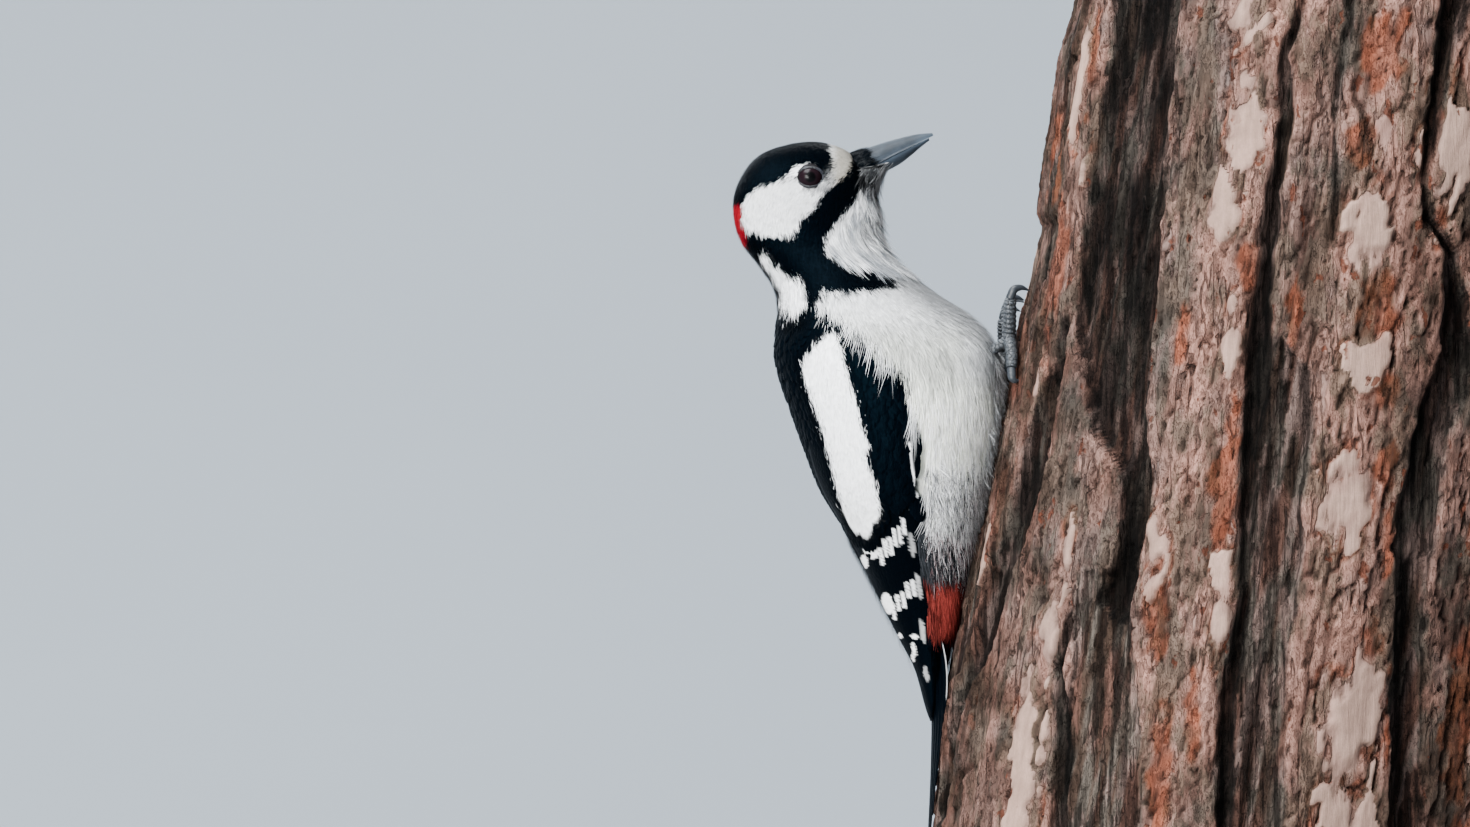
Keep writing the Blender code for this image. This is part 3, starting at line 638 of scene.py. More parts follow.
class Look:
    def __init__(self, name):
        self.material = bpy.data.materials.new(name)
        self.material.use_nodes = True
        self.tree = self.material.node_tree
        self.shader = self.tree.nodes["Principled BSDF"]
        self.place = self.node("ShaderNodeTexCoord", {}, {}, "Object")

    def node(self, kind, settings, inputs, output=0):
        """A node of a kind with its settings made first, then its sockets given values or links."""
        made = self.tree.nodes.new(kind)
        for key, value in settings.items():
            setattr(made, key, value)
        for key, value in inputs.items():
            self._feed(made.inputs[key], value)
        return Field(self, made.outputs[output])

    def _feed(self, socket, value):
        if isinstance(value, Field):
            self.tree.links.new(value.socket, socket)
        else:
            socket.default_value = value

    def carried(self, output="Color"):
        """The tint that the mesh carries for each point, or its alpha."""
        return self.node("ShaderNodeAttribute", {"attribute_name": "tint"}, {}, output)

    def stretched(self, *scale):
        """Object coordinates with each axis multiplied by its scale."""
        return self.node("ShaderNodeMapping", {}, {0: self.place, "Scale": scale})

    def noise(self, scale, detail=4.0, roughness=0.55, at=None):
        """Noise from 0 to 1 at a place, or at the point itself."""
        inputs = {"Vector": at or self.place, "Scale": scale, "Detail": detail, "Roughness": roughness}
        return self.node("ShaderNodeTexNoise", {}, inputs)

    def cells(self, scale, at=None, feature="F1"):
        """Distance to the nearest of a lattice of scattered points, or to the edge between two."""
        inputs = {"Vector": at or self.place, "Scale": scale}
        return self.node("ShaderNodeTexVoronoi", {"feature": feature}, inputs, "Distance")

    def mix(self, share, first, second, way="MIX"):
        """The first colour taken towards the second by a share, or blended with it in another way."""
        settings = {"data_type": "RGBA", "blend_type": way}
        return self.node("ShaderNodeMix", settings, {0: share, 6: rgba(first), 7: rgba(second)}, 2)

    def times(self, first, second):
        """Two colours multiplied."""
        return self.mix(1.0, first, second, "MULTIPLY")

    def shaded(self, colour, shade):
        """A colour multiplied by a number."""
        return self.times(colour, self.node("ShaderNodeCombineColor", {}, dict.fromkeys(range(3), shade)))

    def bump(self, height, distance):
        """The surface's normal over a relief whose height of 1 stands for a distance in metres."""
        return self.node("ShaderNodeBump", {}, {"Strength": 1.0, "Distance": distance, "Height": height})

    def finish(self, **inputs):
        """Feeds the shader's sockets, named with underscores, and returns the material."""
        for key, value in inputs.items():
            self._feed(self.shader.inputs[key.replace("_", " ")], value)
        return self.material


def rgba(colour):
    """A colour as a socket takes it, or the Field that it comes from."""
    return colour if isinstance(colour, Field) else (*colour[:3], 1.0)


def plumage_look(name, matt, glossy, depth, shine, sheen=(1.0, 1.0, 1.0)):
    """Feathers: the carried tint broken by streaks and mottles, glossier where its alpha says so, with a
    sheen of its own colour."""
    look = Look(name)
    mottle = look.noise(420.0, 3.0)
    streak = look.noise(1500.0, 2.0, at=look.stretched(1.0, 1.0, 0.35))
    return look.finish(
        Base_Color=look.shaded(look.carried(), mottle * 0.35 + streak * 0.35 + 0.65),
        Roughness=matt + (glossy - matt) * look.carried("Alpha") + (streak - 0.5) * 0.2,
        Specular_IOR_Level=shine, Specular_Tint=(*sheen, 1.0),
        Normal=look.bump(streak, depth),
    )


LOOKS = {
    "black_plumage": plumage_look("black plumage", 0.8, 0.45, 0.0002, 0.02, (0.22, 0.62, 1.0)),
    "white_plumage": plumage_look("white plumage", 0.9, 0.6, 0.00015, 0.1),
    "red_plumage": plumage_look("red plumage", 0.85, 0.6, 0.00015, 0.05),
}


def horn_look(name, dark, pale, rough):
    """Horn: grey keratin with fine growth lines along it, paler where the tint says so."""
    look = Look(name)
    fibre = look.noise(900.0, 4.0, 0.6, look.stretched(0.35, 1.0, 0.8))
    cloud = look.noise(160.0, 3.0)
    wear = look.mix(cloud.eased(0.42, 0.68) * 0.55, dark, pale)
    return look.finish(
        Base_Color=look.times(look.mix(fibre * 0.35, wear, pale), look.carried()),
        Roughness=rough + fibre * 0.2 - 0.1, Specular_IOR_Level=0.26, Normal=look.bump(fibre, 0.00012),
    )


def scaly_look():
    """Skin of the feet: grey-blue scutes with dark seams."""
    look = Look("foot skin")
    cell = look.cells(900.0)
    edge = look.cells(900.0, feature="DISTANCE_TO_EDGE").eased(0.0, 0.12)
    scute = look.mix(look.noise(260.0, 3.0), (0.009, 0.011, 0.014), (0.037, 0.044, 0.053))
    colour = look.mix(1.0 - edge, scute, (0.005, 0.006, 0.007))
    return look.finish(
        Base_Color=look.times(colour, look.carried()), Roughness=0.62 - cell * 0.2,
        Normal=look.bump(edge, 0.00015),
    )


def eye_look():
    """Eye: black pupil, dark red-brown iris with fine rays and a dark rim, under a clear wet coat."""
    look = Look("eye")
    tint = look.carried()
    rays = look.noise(1400.0, 4.0)
    return look.finish(
        Base_Color=look.mix(rays * 0.5, tint, look.times(tint, (1.7, 1.5, 1.4))),
        Roughness=0.25 + rays * 0.08, Specular_IOR_Level=0.05, Coat_Weight=0.07, Coat_Roughness=0.04,
        Normal=look.bump(rays, 0.00004),
    )


def bark_look():
    """Bark: the carried tint with sharp-edged flakes at several levels, khaki and pink by turns, upright
    fibres, short rust-red flecks where a scale has sprung off, and dark pits. Where alpha says that a plate
    lies, it is smooth; where alpha is nil, in the furrows, fibres take the flakes' place."""
    look = Look("bark")
    tall = look.stretched(1.0, 1.0, 0.36)
    swirls = {"Vector": look.place, "Scale": 240.0, "Detail": 4.0}
    swirl = look.node("ShaderNodeTexNoise", {}, swirls, "Color")
    swirled = {0: swirl, 1: (0.007,) * 3, 2: look.stretched(1.0, 1.0, 0.42)}
    moved = look.node("ShaderNodeVectorMath", {"operation": "MULTIPLY_ADD"}, swirled)
    broad, small = look.noise(110.0, 7.0, 0.62, tall), look.noise(330.0, 5.0, 0.66, tall)
    fibre = look.noise(900.0, 4.0, 0.7, look.stretched(1.0, 1.0, 0.08))
    grit = look.noise(1700.0, 3.0, 0.8)
    cloud = look.noise(60.0, 3.0, 0.5)
    strand = look.noise(430.0, 3.0, 0.6, look.stretched(1.0, 1.0, 0.05)).eased(0.40, 0.62)
    split = look.noise(190.0, 2.0, 0.5, look.stretched(1.0, 1.0, 0.10))
    mottle = look.noise(150.0, 6.0, 0.7, look.stretched(1.0, 1.0, 0.45))
    patch = look.noise(105.0, 5.0, 0.62, tall).eased(0.44, 0.56)

    plate = look.carried("Alpha")
    furrow = 1.0 - plate.eased(0.02, 0.2)
    flaky = 1.0 - (plate + (broad - 0.5) * 2.2 + (small - 0.5) * 1.2).eased(0.42, 0.66)
    level = broad.eased(0.435, 0.447) + broad.eased(0.50, 0.512) + broad.eased(0.565, 0.58)
    scale = small.eased(0.46, 0.475) + small.eased(0.55, 0.57)
    fleck = (1.0 - look.cells(170.0, moved).eased(0.13, 0.22)) * cloud.eased(0.44, 0.50)
    crack = split.eased(0.476, 0.490) * (1.0 - split.eased(0.508, 0.522)) * broad.eased(0.46, 0.56) * flaky
    pits = (1.0 - small.eased(0.33, 0.38)) * flaky

    hue = look.mix(flaky, (1.0, 1.0, 1.0), look.mix(patch, (0.66, 0.72, 0.66), (1.34, 1.19, 1.13)))
    hued = look.times(look.carried(), hue)
    colour = look.mix(fleck * (1.0 - furrow) * 0.85, hued, (0.075, 0.022, 0.012))
    flakes = (level * 0.20 + scale * 0.18 + 0.45) * (1.0 - furrow) + furrow * (0.30 + strand * 1.25)
    shade = (1.0 - flaky) * (mottle * 0.9 + 0.52) + flakes * flaky
    shade = shade * (0.84 + fibre * 0.32) * (0.74 + grit * 0.52) * (0.80 + cloud * 0.40)
    colour = look.shaded(colour, shade)
    # Painted shade: pits and cracks darkened to near-black; the bump sinks the cracks as well.
    colour = look.mix(pits * 0.4, colour, (0.012, 0.008, 0.007))
    colour = look.mix(crack * 0.75, colour, (0.010, 0.007, 0.006))
    height = level * flaky * 0.46 + scale * flaky * 0.28 - crack * 0.5
    height = height + fibre * (0.30 + furrow * 0.4) + grit * 0.07 - fleck * 0.2
    return look.finish(
        Base_Color=colour, Roughness=0.80 + fibre * 0.2, Specular_IOR_Level=0.05,
        Normal=look.bump(height, 0.0013),
    )


def end_grain_look():
    """Sawn end of the trunk: the growth rings and cracks that the mesh carries, with grit and cloud."""
    look = Look("end grain")
    grit = look.noise(900.0, 4.0, 0.7)
    cloud = look.noise(60.0, 4.0)
    return look.finish(
        Base_Color=look.shaded(look.carried(), 0.75 + grit * 0.3 + cloud * 0.2), Roughness=0.7 + grit * 0.2,
        Normal=look.bump(grit, 0.0003),
    )


def wood_look():
    """Oiled beech for the base: long grain along X with pores and slow colour bands."""
    look = Look("stand wood")
    grain = look.noise(34.0, 7.0, 0.62, look.stretched(0.12, 1.0, 1.0))
    pore = look.noise(900.0, 3.0, 0.6, look.stretched(0.06, 1.0, 1.0))
    wave = {"Vector": look.stretched(0.1, 1.0, 1.0), "Scale": 22.0, "Distortion": 9.0, "Detail": 3.0}
    wave["Detail Scale"] = 1.2
    band = look.node("ShaderNodeTexWave", {"bands_direction": "Y"}, wave, "Fac")
    base = look.mix(grain, (0.23, 0.135, 0.072), (0.40, 0.26, 0.150))
    base = look.mix(band * 0.35, base, (0.20, 0.11, 0.055))
    base = look.mix(pore.eased(0.58, 0.7) * 0.5, base, (0.10, 0.055, 0.03))
    return look.finish(
        Base_Color=base, Roughness=0.5 + grain * 0.12, Coat_Weight=0.15 + pore * 0.05,
        Coat_Roughness=0.3, Normal=look.bump(pore + grain, 0.00015),
    )


def steel_look():
    """Brushed steel: fine turned lines round the rods and faint cloudy wear."""
    look = Look("stand steel")
    lines = look.noise(2600.0, 2.0, 0.5, look.stretched(0.1, 0.1, 1.0))
    cloud = look.noise(90.0, 4.0)
    colour = look.mix(cloud, (0.52, 0.53, 0.54), (0.66, 0.67, 0.68))
    return look.finish(
        Base_Color=colour, Metallic=1.0, Roughness=0.26 + lines * 0.16 + cloud * 0.06,
        Normal=look.bump(lines, 0.00003),
    )


def floor_look():
    """Matt pale paper with a faint mottle, clear from behind."""
    look = Look("pale paper")
    cloud = look.noise(3.0, 4.0)
    colour = look.mix(cloud, (0.146, 0.166, 0.188), (0.170, 0.190, 0.212))
    behind_it = look.node("ShaderNodeNewGeometry", {}, {}, "Backfacing")
    return look.finish(Base_Color=colour, Roughness=0.9 + cloud * 0.05, Alpha=1.0 - behind_it)


# ---------------------------------------------------------------- the bird: places and colours
def body(station, angle, inward=0.0):
    """The envelope with the thighs' swelling, 3 mm outwards in a soft dome round each thigh."""
    points = envelope(station, angle, inward)
    gap = (points * (1, 0, 1) + np.abs(points) * (0, 1, 0) - THIGH_CENTRE) / (THIGH_SIZE * 1.15)
    swell = 3.0 * np.exp(-(gap**2).sum(-1))
    away = points - envelope(station, angle, np.asarray(inward) + 3.0)
    size = np.maximum(np.linalg.norm(away, axis=-1, keepdims=True), 1e-6)
    return points + away / size * swell[..., None]


def wing_edges(station):
    """Angles of the folded wing's dorsal and ventral edges at a station."""
    edges = (WING_DORSAL_DEG, WING_VENTRAL_DEG)
    return [np.radians(np.interp(station, WING_EDGE_AT, degrees)) for degrees in edges]


def wing_share(station, angle):
    """Place across the folded wing: 0 at its dorsal edge and 1 at its ventral edge."""
    low, high = wing_edges(station)
    return (np.abs(angle) - low) / (high - low)


def wing_angle(station, share):
    """Angle of a place across the folded wing, the inverse of wing_share."""
    low, high = wing_edges(station)
    return low + (high - low) * share


def outside_wing(station, angle):
    """True where no folded wing covers the place."""
    share = wing_share(station, angle)
    return (station <= WING_START) | (share <= 0) | (share >= 1)


def behind(first, second, length):
    """Station of the place a length in mm further back along the lie of the plumage."""
    return first + length / local_frame(body, first, second)[0]


def by_colour(tint):
    """Splits roots into black, white and red plumage."""
    red = tint[:, 0] > 4 * tint[:, 1] + 0.02
    white = ~red & (tint[:, 1] > 0.10)
    return {"black_plumage": ~(red | white), "white_plumage": white, "red_plumage": red}


def streaks(station, angle):
    """A field of 0 to 1 that changes over 1.2 mm round the body and 9 mm along it."""
    return noise(angle / (2 * math.pi) % 1.0, station, (96, 1.0), 51, 96)


def coat(name, roots, length, width, keep=None, turn=None, reach=0.75, ragged=0.45, clump=0.0, **words):
    """A region of the coat as one set of tufts for each plumage that grows in it. Their colour is that of
    the plumage a share of their length from the root, and clump makes some tufts darker than others."""
    first, second = roots if keep is None else chosen(roots, keep(*roots))
    count = len(first)
    length = length(first, second) * np.clip(rng.normal(1, 0.08, count), 0.8, 1.2)
    lie = rng.normal(0, 0.09, count)
    if turn:
        lie = lie + turn(first, second)
    tint, gloss = plumage(body(behind(first, second, reach * length), second), ragged)
    uneven = 0.6 * rng.normal(0, 1, count) + 4.0 * (streaks(first, second) - 0.55)
    shown = tint * np.clip(1 + clump * uneven, 0.3, 1.3)[:, None]
    for slot, mask in by_colour(tint).items():
        if mask.any():
            tufts(
                f"{name}_{slot.split('_')[0]}", slot, body, chosen((first, second), mask), length[mask],
                width, turn=lie[mask], colour=lambda *_: (shown[mask], gloss[mask]), **words,
            )


def seen_eye(first, second, grow=0.0):
    """True where a place lies over an eye's opening."""
    points = body(first, second)
    ahead, above = ((points[..., k] - EYE[k]) / (LID_HALF[k // 2] + grow) for k in (0, 2))
    return (ahead**2 + above**2 < 1) & (np.abs(points[..., 1]) > 6)


# ---------------------------------------------------------------- skin
def skin():
    """One closed loft of rings inside the envelope by the depth of the coat, sunk under the wings and round
    the eyes, with the markings of the coat."""
    rows, columns = 300, 160
    station = np.linspace(0.02, SKIN_END, rows)[:, None]
    angle = np.linspace(-math.pi, math.pi, columns, endpoint=False)[None]
    depth = np.interp(station, SKIN_DEPTH_AT, SKIN_DEPTH)
    under_wing = np.interp(station, WING_THICK_AT, WING_THICK) + np.interp(station, HOLLOW_AT, HOLLOW) + 0.4
    share = wing_share(station, angle)
    covered = smooth(-0.02, 0.06, share) * smooth(1.02, 0.94, share)
    covered = covered * smooth(WING_START, WING_START + 0.5, station)
    depth = depth + covered * np.maximum(under_wing - depth, 0)
    outside = body(station, angle)
    ahead, above = ((outside[..., k] - EYE[k]) / LID_HALF[k // 2] for k in (0, 2))
    near_eye = np.maximum(np.hypot(ahead, above), 0.01)
    depth = depth + (0.05 + 1.6 * (ahead / near_eye) ** 2) * smooth(1.22, 0.95, near_eye) * (station < 6)
    points = body(station, angle, depth)
    tint, _ = plumage(outside, 0.12)
    # Painted shade: below 170 mm the skin is darkened by up to 0.65, so that the gaps between the tufts of
    # the lower body look shaded.
    tint = tint * (1 - 0.65 * smooth(170, 150, outside[..., 2]))[..., None]
    poles = [points[0].mean(0), points[-1].mean(0)]
    flat = np.concatenate([points.reshape(-1, 3), poles])
    tint = np.concatenate([tint.reshape(-1, 3), [BLACK, BRICK]])
    uv = np.concatenate([chart_map(station, angle).reshape(-1, 2), [[0.5, 0.01], [0.5, 0.99]]])
    sides = halves(grid_faces(rows, columns, closed=True)[:, ::-1])
    triangles = np.concatenate([sides, ring_fans(rows, columns)[:, ::-1]])
    obj = mesh_object("skin", flat, triangles, uv, tint, np.zeros(len(flat)))
    dress(
        obj, LOOKS["white_plumage"], "white_plumage",
        "head", "neck", "torso", "undertail", "thigh_right", "thigh_left",
    )


skin()

# ---------------------------------------------------------------- coat of the head, neck and body
WHOLE = (-math.pi, math.pi)
BACK = (-1.75, 1.75)


def head_length(first, second):
    """Shortest at the bill and round the eyes, and longest on the throat and nape."""
    points = body(first, second)
    near = smooth(9, 3, np.hypot(points[..., 0] - EYE[0], points[..., 2] - EYE[2]))
    ventral = smooth(0.2, -0.8, np.cos(second))
    return np.interp(first, (0, 1, 3, 6.4), (1.5, 1.9, 2.6, 3.4)) * (1 - 0.35 * near) + 1.1 * ventral


def clear_of_eye(first, second):
    """True for the roots of tufts that don't reach over the opening of an eye."""
    over = seen_eye(first, second, 0.15)
    for length in (1.1, 1.9):
        over |= seen_eye(behind(first, second, length), second)
    return ~over


coat(
    "coat_head", rows_on(body, 0.05, 6.5, 0.62, 0.72, WHOLE), head_length, 1.25, keep=clear_of_eye,
    ragged=0.3, strands=5, root_depth=0.9, tip_depth=(-0.15, 0.35),
)
coat(
    "coat_neck", rows_on(body, 6.3, 10.6, 1.0, 1.1, WHOLE),
    lambda station, angle: np.interp(station, (6.3, 8, 10.6), (4.0, 5.2, 6.4)), 2.2,
    root_depth=1.5, tip_depth=(-0.3, 0.5), shade=0.12,
)


def chin_surface(station, angle, inward=0.0):
    """The throat's surface carried on under the bill: 11 mm further out at the bill's root, fading by the
    third station, with the ventral side pulled along the bill."""
    station, angle, inward = np.broadcast_arrays(station, angle, inward)
    reach = smooth(2.6, -1.5, station) * smooth(-0.05, -0.9, np.cos(angle))
    points = body(np.clip(station, 0, LAST), angle, inward)
    return points + reach[..., None] * (11.0 * BILL_AHEAD - 0.2 * BILL_UP)


def chin_map(station, angle):
    """The skin's unwrap, with what lies ahead of the skin at its first ring."""
    return chart_map(np.maximum(station, 0), angle)


def chin_tint(station, angle):
    """Grey to white in streaks, darker on both sides of the bill's root, with no gloss."""
    count = len(station)
    share = smooth(0.30, 0.68, streaks(station, angle) + 0.18 * (rng.random(count) - 0.5))
    shown = blend(np.broadcast_to(GREY * (0.26, 0.30, 0.35), (count, 3)), WHITE * 0.72, 0.25 + 0.75 * share)
    dark = np.interp(station, (0.2, 1.0, 2.4), (0.09, 0.45, 1.0))
    middle = 0.9 * smooth(1.0, 0.45, np.abs(angle - math.pi))
    return shown * np.maximum(dark, middle)[:, None], np.zeros(count)


def chin():
    """Grey-streaked tufts of the chin and throat, out to the bill's root and a little round it."""
    spacing = lambda at_bill, growth: (lambda station: at_bill + growth * max(station, 0))
    roots = rows_on(
        chin_surface, -1.3, 8.2, spacing(0.75, 0.06), spacing(0.8, 0.08), (math.pi - 1.35, math.pi + 1.35)
    )
    station, angle = roots
    on_throat = depth_in(body(np.maximum(station, 0), angle), UNDERPARTS) > 0.3
    beneath = (station < 0.8) & (np.abs(angle - math.pi) < 1.25)
    station, angle = chosen(roots, (on_throat & (station >= 0.8)) | beneath)
    tufts(
        "coat_chin", "white_plumage", chin_surface, (station, angle), 3.4 + 0.4 * station, 1.5,
        turn=rng.normal(0, 0.16, len(station)), strands=7, levels=5, strand_width=0.24, root_depth=0.6,
        tip_depth=(-1.9, 0.2), shade=0.25, colour=chin_tint, chart=chin_map,
    )


chin()


def pale_gap(first, second):
    """Distance inside the pale underparts or the neck's white patch."""
    points = body(first, second)
    return np.maximum(depth_in(points, UNDERPARTS), depth_in(points, NECK_PATCH))


def breast_keep(first, second):
    """Breast and belly: where the underparts are pale, or below the wing's ventral edge."""
    points, tips = body(first, second), body(behind(first, second, 6.5), second)
    gap = np.minimum(depth_in(points, UNDERPARTS), depth_in(tips, UNDERPARTS))
    heights, least_gaps = (150.0, 160.0, 185.0, 192.0, 199.0, 208.0), (2.4, 3.6, 5.2, 4.4, 2.6, 2.2)
    least = np.interp(points[..., 2], heights, least_gaps)
    below = wing_share(first, second) > np.interp(first, (13.0, 14.5), (1.05, 1.16))
    return ((gap > least) | below) & (np.cos(second) < 0.55)


def over_wing_turn(first, second):
    """Turns tufts near the wing's ventral edge a little, so that they fall along it."""
    share = wing_share(first, second)
    return -np.sign(second) * 0.22 * smooth(1.4, 1.02, share) * smooth(16.5, 14.5, first)


coat(
    "coat_breast", rows_on(body, 10.4, 16.9, 1.5, 1.45, WHOLE),
    lambda station, angle: np.interp(station, (10.4, 13, 15.6, 16.9), (6.0, 8.0, 10.0, 7.5)), 3.0,
    keep=breast_keep, turn=over_wing_turn, reach=0.4, strands=9, root_depth=2.0, tip_depth=(-1.3, 0.3),
    shade=0.20, clump=0.05,
)


def white_mix(dark, share, white=0.9):
    """Colours of matt barbs: a dark colour taken towards a white by a share for each."""
    return blend(np.broadcast_to(dark, (len(share), 3)), WHITE * white, share)


def fringe():
    """Long fine barbs of the breast's edge over the black wing: they leave the pale border backwards and
    turned towards the back, most where the border is highest."""
    roots = rows_on(body, 10.3, 14.6, 0.55, 0.6, WHOLE)
    first, second = roots
    points = body(first, second)
    gap = depth_in(points, UNDERPARTS)
    on_edge = (gap > -0.2) & (gap < 3.4) & (np.cos(second) < 0.75) & (wing_share(first, second) < 1.06)
    on_edge &= rng.random(len(first)) < np.interp(points[:, 0], (-112.0, -104.0), (0.10, 0.18))
    (first, second), x = chosen(roots, on_edge), points[on_edge, 0]
    lean = np.interp(x, (-114.0, -108.0, -103.0, -90.0), (0.05, 0.45, 0.7, 0.15))
    long = np.interp(x, (-114.0, -106.0, -98.0), (4.0, 7.8, 9.0))
    count = len(first)
    shown = white_mix(GREY * 0.6, rng.random(count))
    tufts(
        "coat_fringe", "white_plumage", body, (first, second), long * rng.normal(1, 0.2, count), 2.6,
        turn=-np.sign(second) * lean + rng.normal(0, 0.16, count), strands=4, levels=5, strand_width=0.22,
        root_depth=0.3, tip_depth=(-0.9, -0.3), shade=0.15, colour=lambda *_: (shown, np.zeros(count)),
    )


fringe()


def loose_barbs():
    """Single fine barbs that stand off the throat, and off the belly on both sides of its middle."""
    for label, surface, span, side, long, out, low in (
        ("throat", chin_surface, (0.2, 6.2), 0.8, 5.5, -3.8, 0.20),
        ("belly", body, (12.6, 17.4), 0.5, 6.0, -3.0, 0.70),
    ):
        first, second = rows_on(surface, *span, 1.3, 1.4, (math.pi - side, math.pi + side))
        count = len(first)
        shown = white_mix(GREY * low, smooth(0.1, 0.8, rng.random(count)))
        shown = shown * np.interp(first, (0.2, 1.2, 3.0), (0.40, 0.60, 1.0))[:, None]
        tufts(
            f"coat_loose_{label}", "white_plumage", surface, (first, second),
            rng.normal(long, 1.2, count), 0.9, turn=rng.normal(0, 0.26, count), strands=3, levels=5,
            strand_width=0.38, root_depth=0.4, tip_depth=(out, -0.5), shade=0.2,
            colour=lambda *_: (shown, np.zeros(count)), chart=chin_map,
        )


loose_barbs()


def belly_end():
    """Loose fine barbs at the end of the belly, over the dark vent and the red beneath the tail."""
    roots = rows_on(body, 15.4, 18.1, 0.9, 0.9, WHOLE)
    keep = (wing_share(*roots) > 1.12) & (np.cos(roots[1]) < 0.3)
    keep &= rng.random(len(keep)) < np.interp(roots[0], (16.6, 18.1), (1.0, 0.25))
    first, second = chosen(roots, keep)
    count = len(first)
    shown = white_mix(SOOT, smooth(0.1, 0.9, rng.random(count)), 0.95)
    pink = 0.7 * rng.random(count) ** 2 * smooth(155.0, 145.0, body(first, second)[:, 2])
    shown = blend(shown, np.array([0.55, 0.30, 0.31]), pink)
    tufts(
        "coat_belly_end", "white_plumage", body, (first, second), rng.normal(9.5, 2.2, count), 2.6,
        turn=rng.normal(0, 0.28, count), strands=4, levels=5, strand_width=0.32, root_depth=0.6,
        tip_depth=(-1.7, 0.2), shade=0.2, colour=lambda *_: (shown, np.zeros(count)),
    )


belly_end()
coat(
    "coat_vent", rows_on(body, 17.0, 20.5, 1.1, 1.1, WHOLE), lambda station, angle: 8.5, 2.6,
    keep=outside_wing, reach=0.5, strands=8, root_depth=1.4, tip_depth=(-1.9, 0.3), shade=0.5, clump=0.4,
)

# ---------------------------------------------------------------- back and wings
def black_vane(points, u):
    """Blue-black, greyer and duller along the very edge."""
    edge = np.broadcast_to(np.abs(u) ** 6, points.shape[:3])
    return blend(np.broadcast_to(BLACK, points.shape), BLACK * 2.2, edge), 1.0 - 0.5 * edge


def scapular_gap(first, second, length):
    """Distance inside the white patch of the shoulder, of a place a length behind the given one."""
    return depth_in(body(behind(first, second, length), second), SCAPULAR_PATCH)


mantle = rows_on(body, 9.6, 17.4, 2.2, 2.5, BACK)
on_back = (wing_share(*mantle) < 0.3) & (pale_gap(*mantle) < 0.5) & (scapular_gap(*mantle, 5.0) < 0.3)
vanes("coat_mantle", "black_plumage", chosen(mantle, on_back), 7.5, 5.0, black_vane, depth=(1.4, -0.15))

coverts = rows_on(body, 10.3, 15.2, 2.2, 2.4, BACK)
on_shoulder = (wing_share(*coverts) >= 0.25) & (wing_share(*coverts) < 1.05)
on_shoulder &= (pale_gap(*coverts) < 2.5) & (scapular_gap(*coverts, 4.0) < -0.3)
vanes(
    "wing_coverts_small", "black_plumage", chosen(coverts, on_shoulder), 7.0, 4.8, black_vane,
    depth=(1.3, 0.1),
)


def shoulder_paint(points, jitter):
    """White inside the shoulder's patch and black outside it, its border moved by a jitter."""
    edge = np.broadcast_to(jitter, points.shape[:-1]) * smooth(150.0, 156.0, points[..., 2])
    white = smooth(-0.15, 0.15, depth_in(points, SCAPULAR_PATCH) + 0.8 * edge)
    return blend(np.broadcast_to(BLACK, points.shape), WHITE, white), 0.7 * (1 - white)


patch = rows_on(body, 10.3, 17.3, 1.35, 1.35, BACK)
near_patch = (scapular_gap(*patch, 3.0) > -1.6) & (pale_gap(*patch) < 0.0) & (wing_share(*patch) < 0.8)
patch = chosen(patch, near_patch)
in_white = scapular_gap(*patch, 3.0) > 0.3
for label, keep in (("white", in_white), ("black", ~in_white)):
    vanes(
        f"wing_patch_{label}_vanes", f"{label}_plumage", chosen(patch, keep), 6.0, 3.4,
        lambda points, u: shoulder_paint(points, 0.0), depth=(0.9, -0.35), crown=0.15, point=2.0,
    )
    tufts(
        f"wing_patch_{label}_barbs", f"{label}_plumage", body, chosen(patch, keep), 5.6, 3.0,
        turn=rng.normal(0, 0.1, keep.sum()), strands=9, levels=6, strand_width=0.28, root_depth=0.3,
        tip_depth=(-0.7, -0.4), paint=shoulder_paint, shade=0.04,
    )


# Marks of the flight feathers: x, z, half width, half height, whiteness
SPOTS = (
    (-101.0, 141.9, 2.2, 2.4, 1.0), (-102.9, 138.6, 1.0, 2.0, 1.0), (-88.9, 143.8, 0.9, 3.6, 0.3),
    (-91.7, 156.8, 0.4, 1.6, 0.9), (-89.1, 155.2, 0.45, 1.4, 0.9), (-96.0, 126.1, 1.6, 3.2, 1.0),
    (-86.9, 131.4, 0.8, 3.8, 0.4), (-92.1, 116.4, 0.55, 0.8, 1.0), (-87.9, 116.2, 1.0, 0.7, 1.0),
    (-85.6, 117.8, 0.7, 3.6, 0.35), (-88.1, 112.4, 0.5, 2.0, 1.0), (-88.3, 109.8, 0.4, 1.2, 1.0),
    (-84.4, 105.1, 0.7, 2.4, 0.25),
)
# Zigzag bars: ends as (x, z), slats, their width and height
ZIGZAGS = (
    ((-98.0, 140.6), (-91.2, 148.8), 6, 0.95, 5.2),
    ((-94.2, 124.2), (-88.6, 131.4), 5, 0.90, 4.8),
)
SLAT_LEAN = 0.16
# Thin pale edge of the wing beside the belly
WING_LINE = ((-90.1, 174.6), (-89.4, 174.2), (-88.5, 166.0), (-87.1, 158.4), (-87.5, 157.8), (-89.0, 165.6))


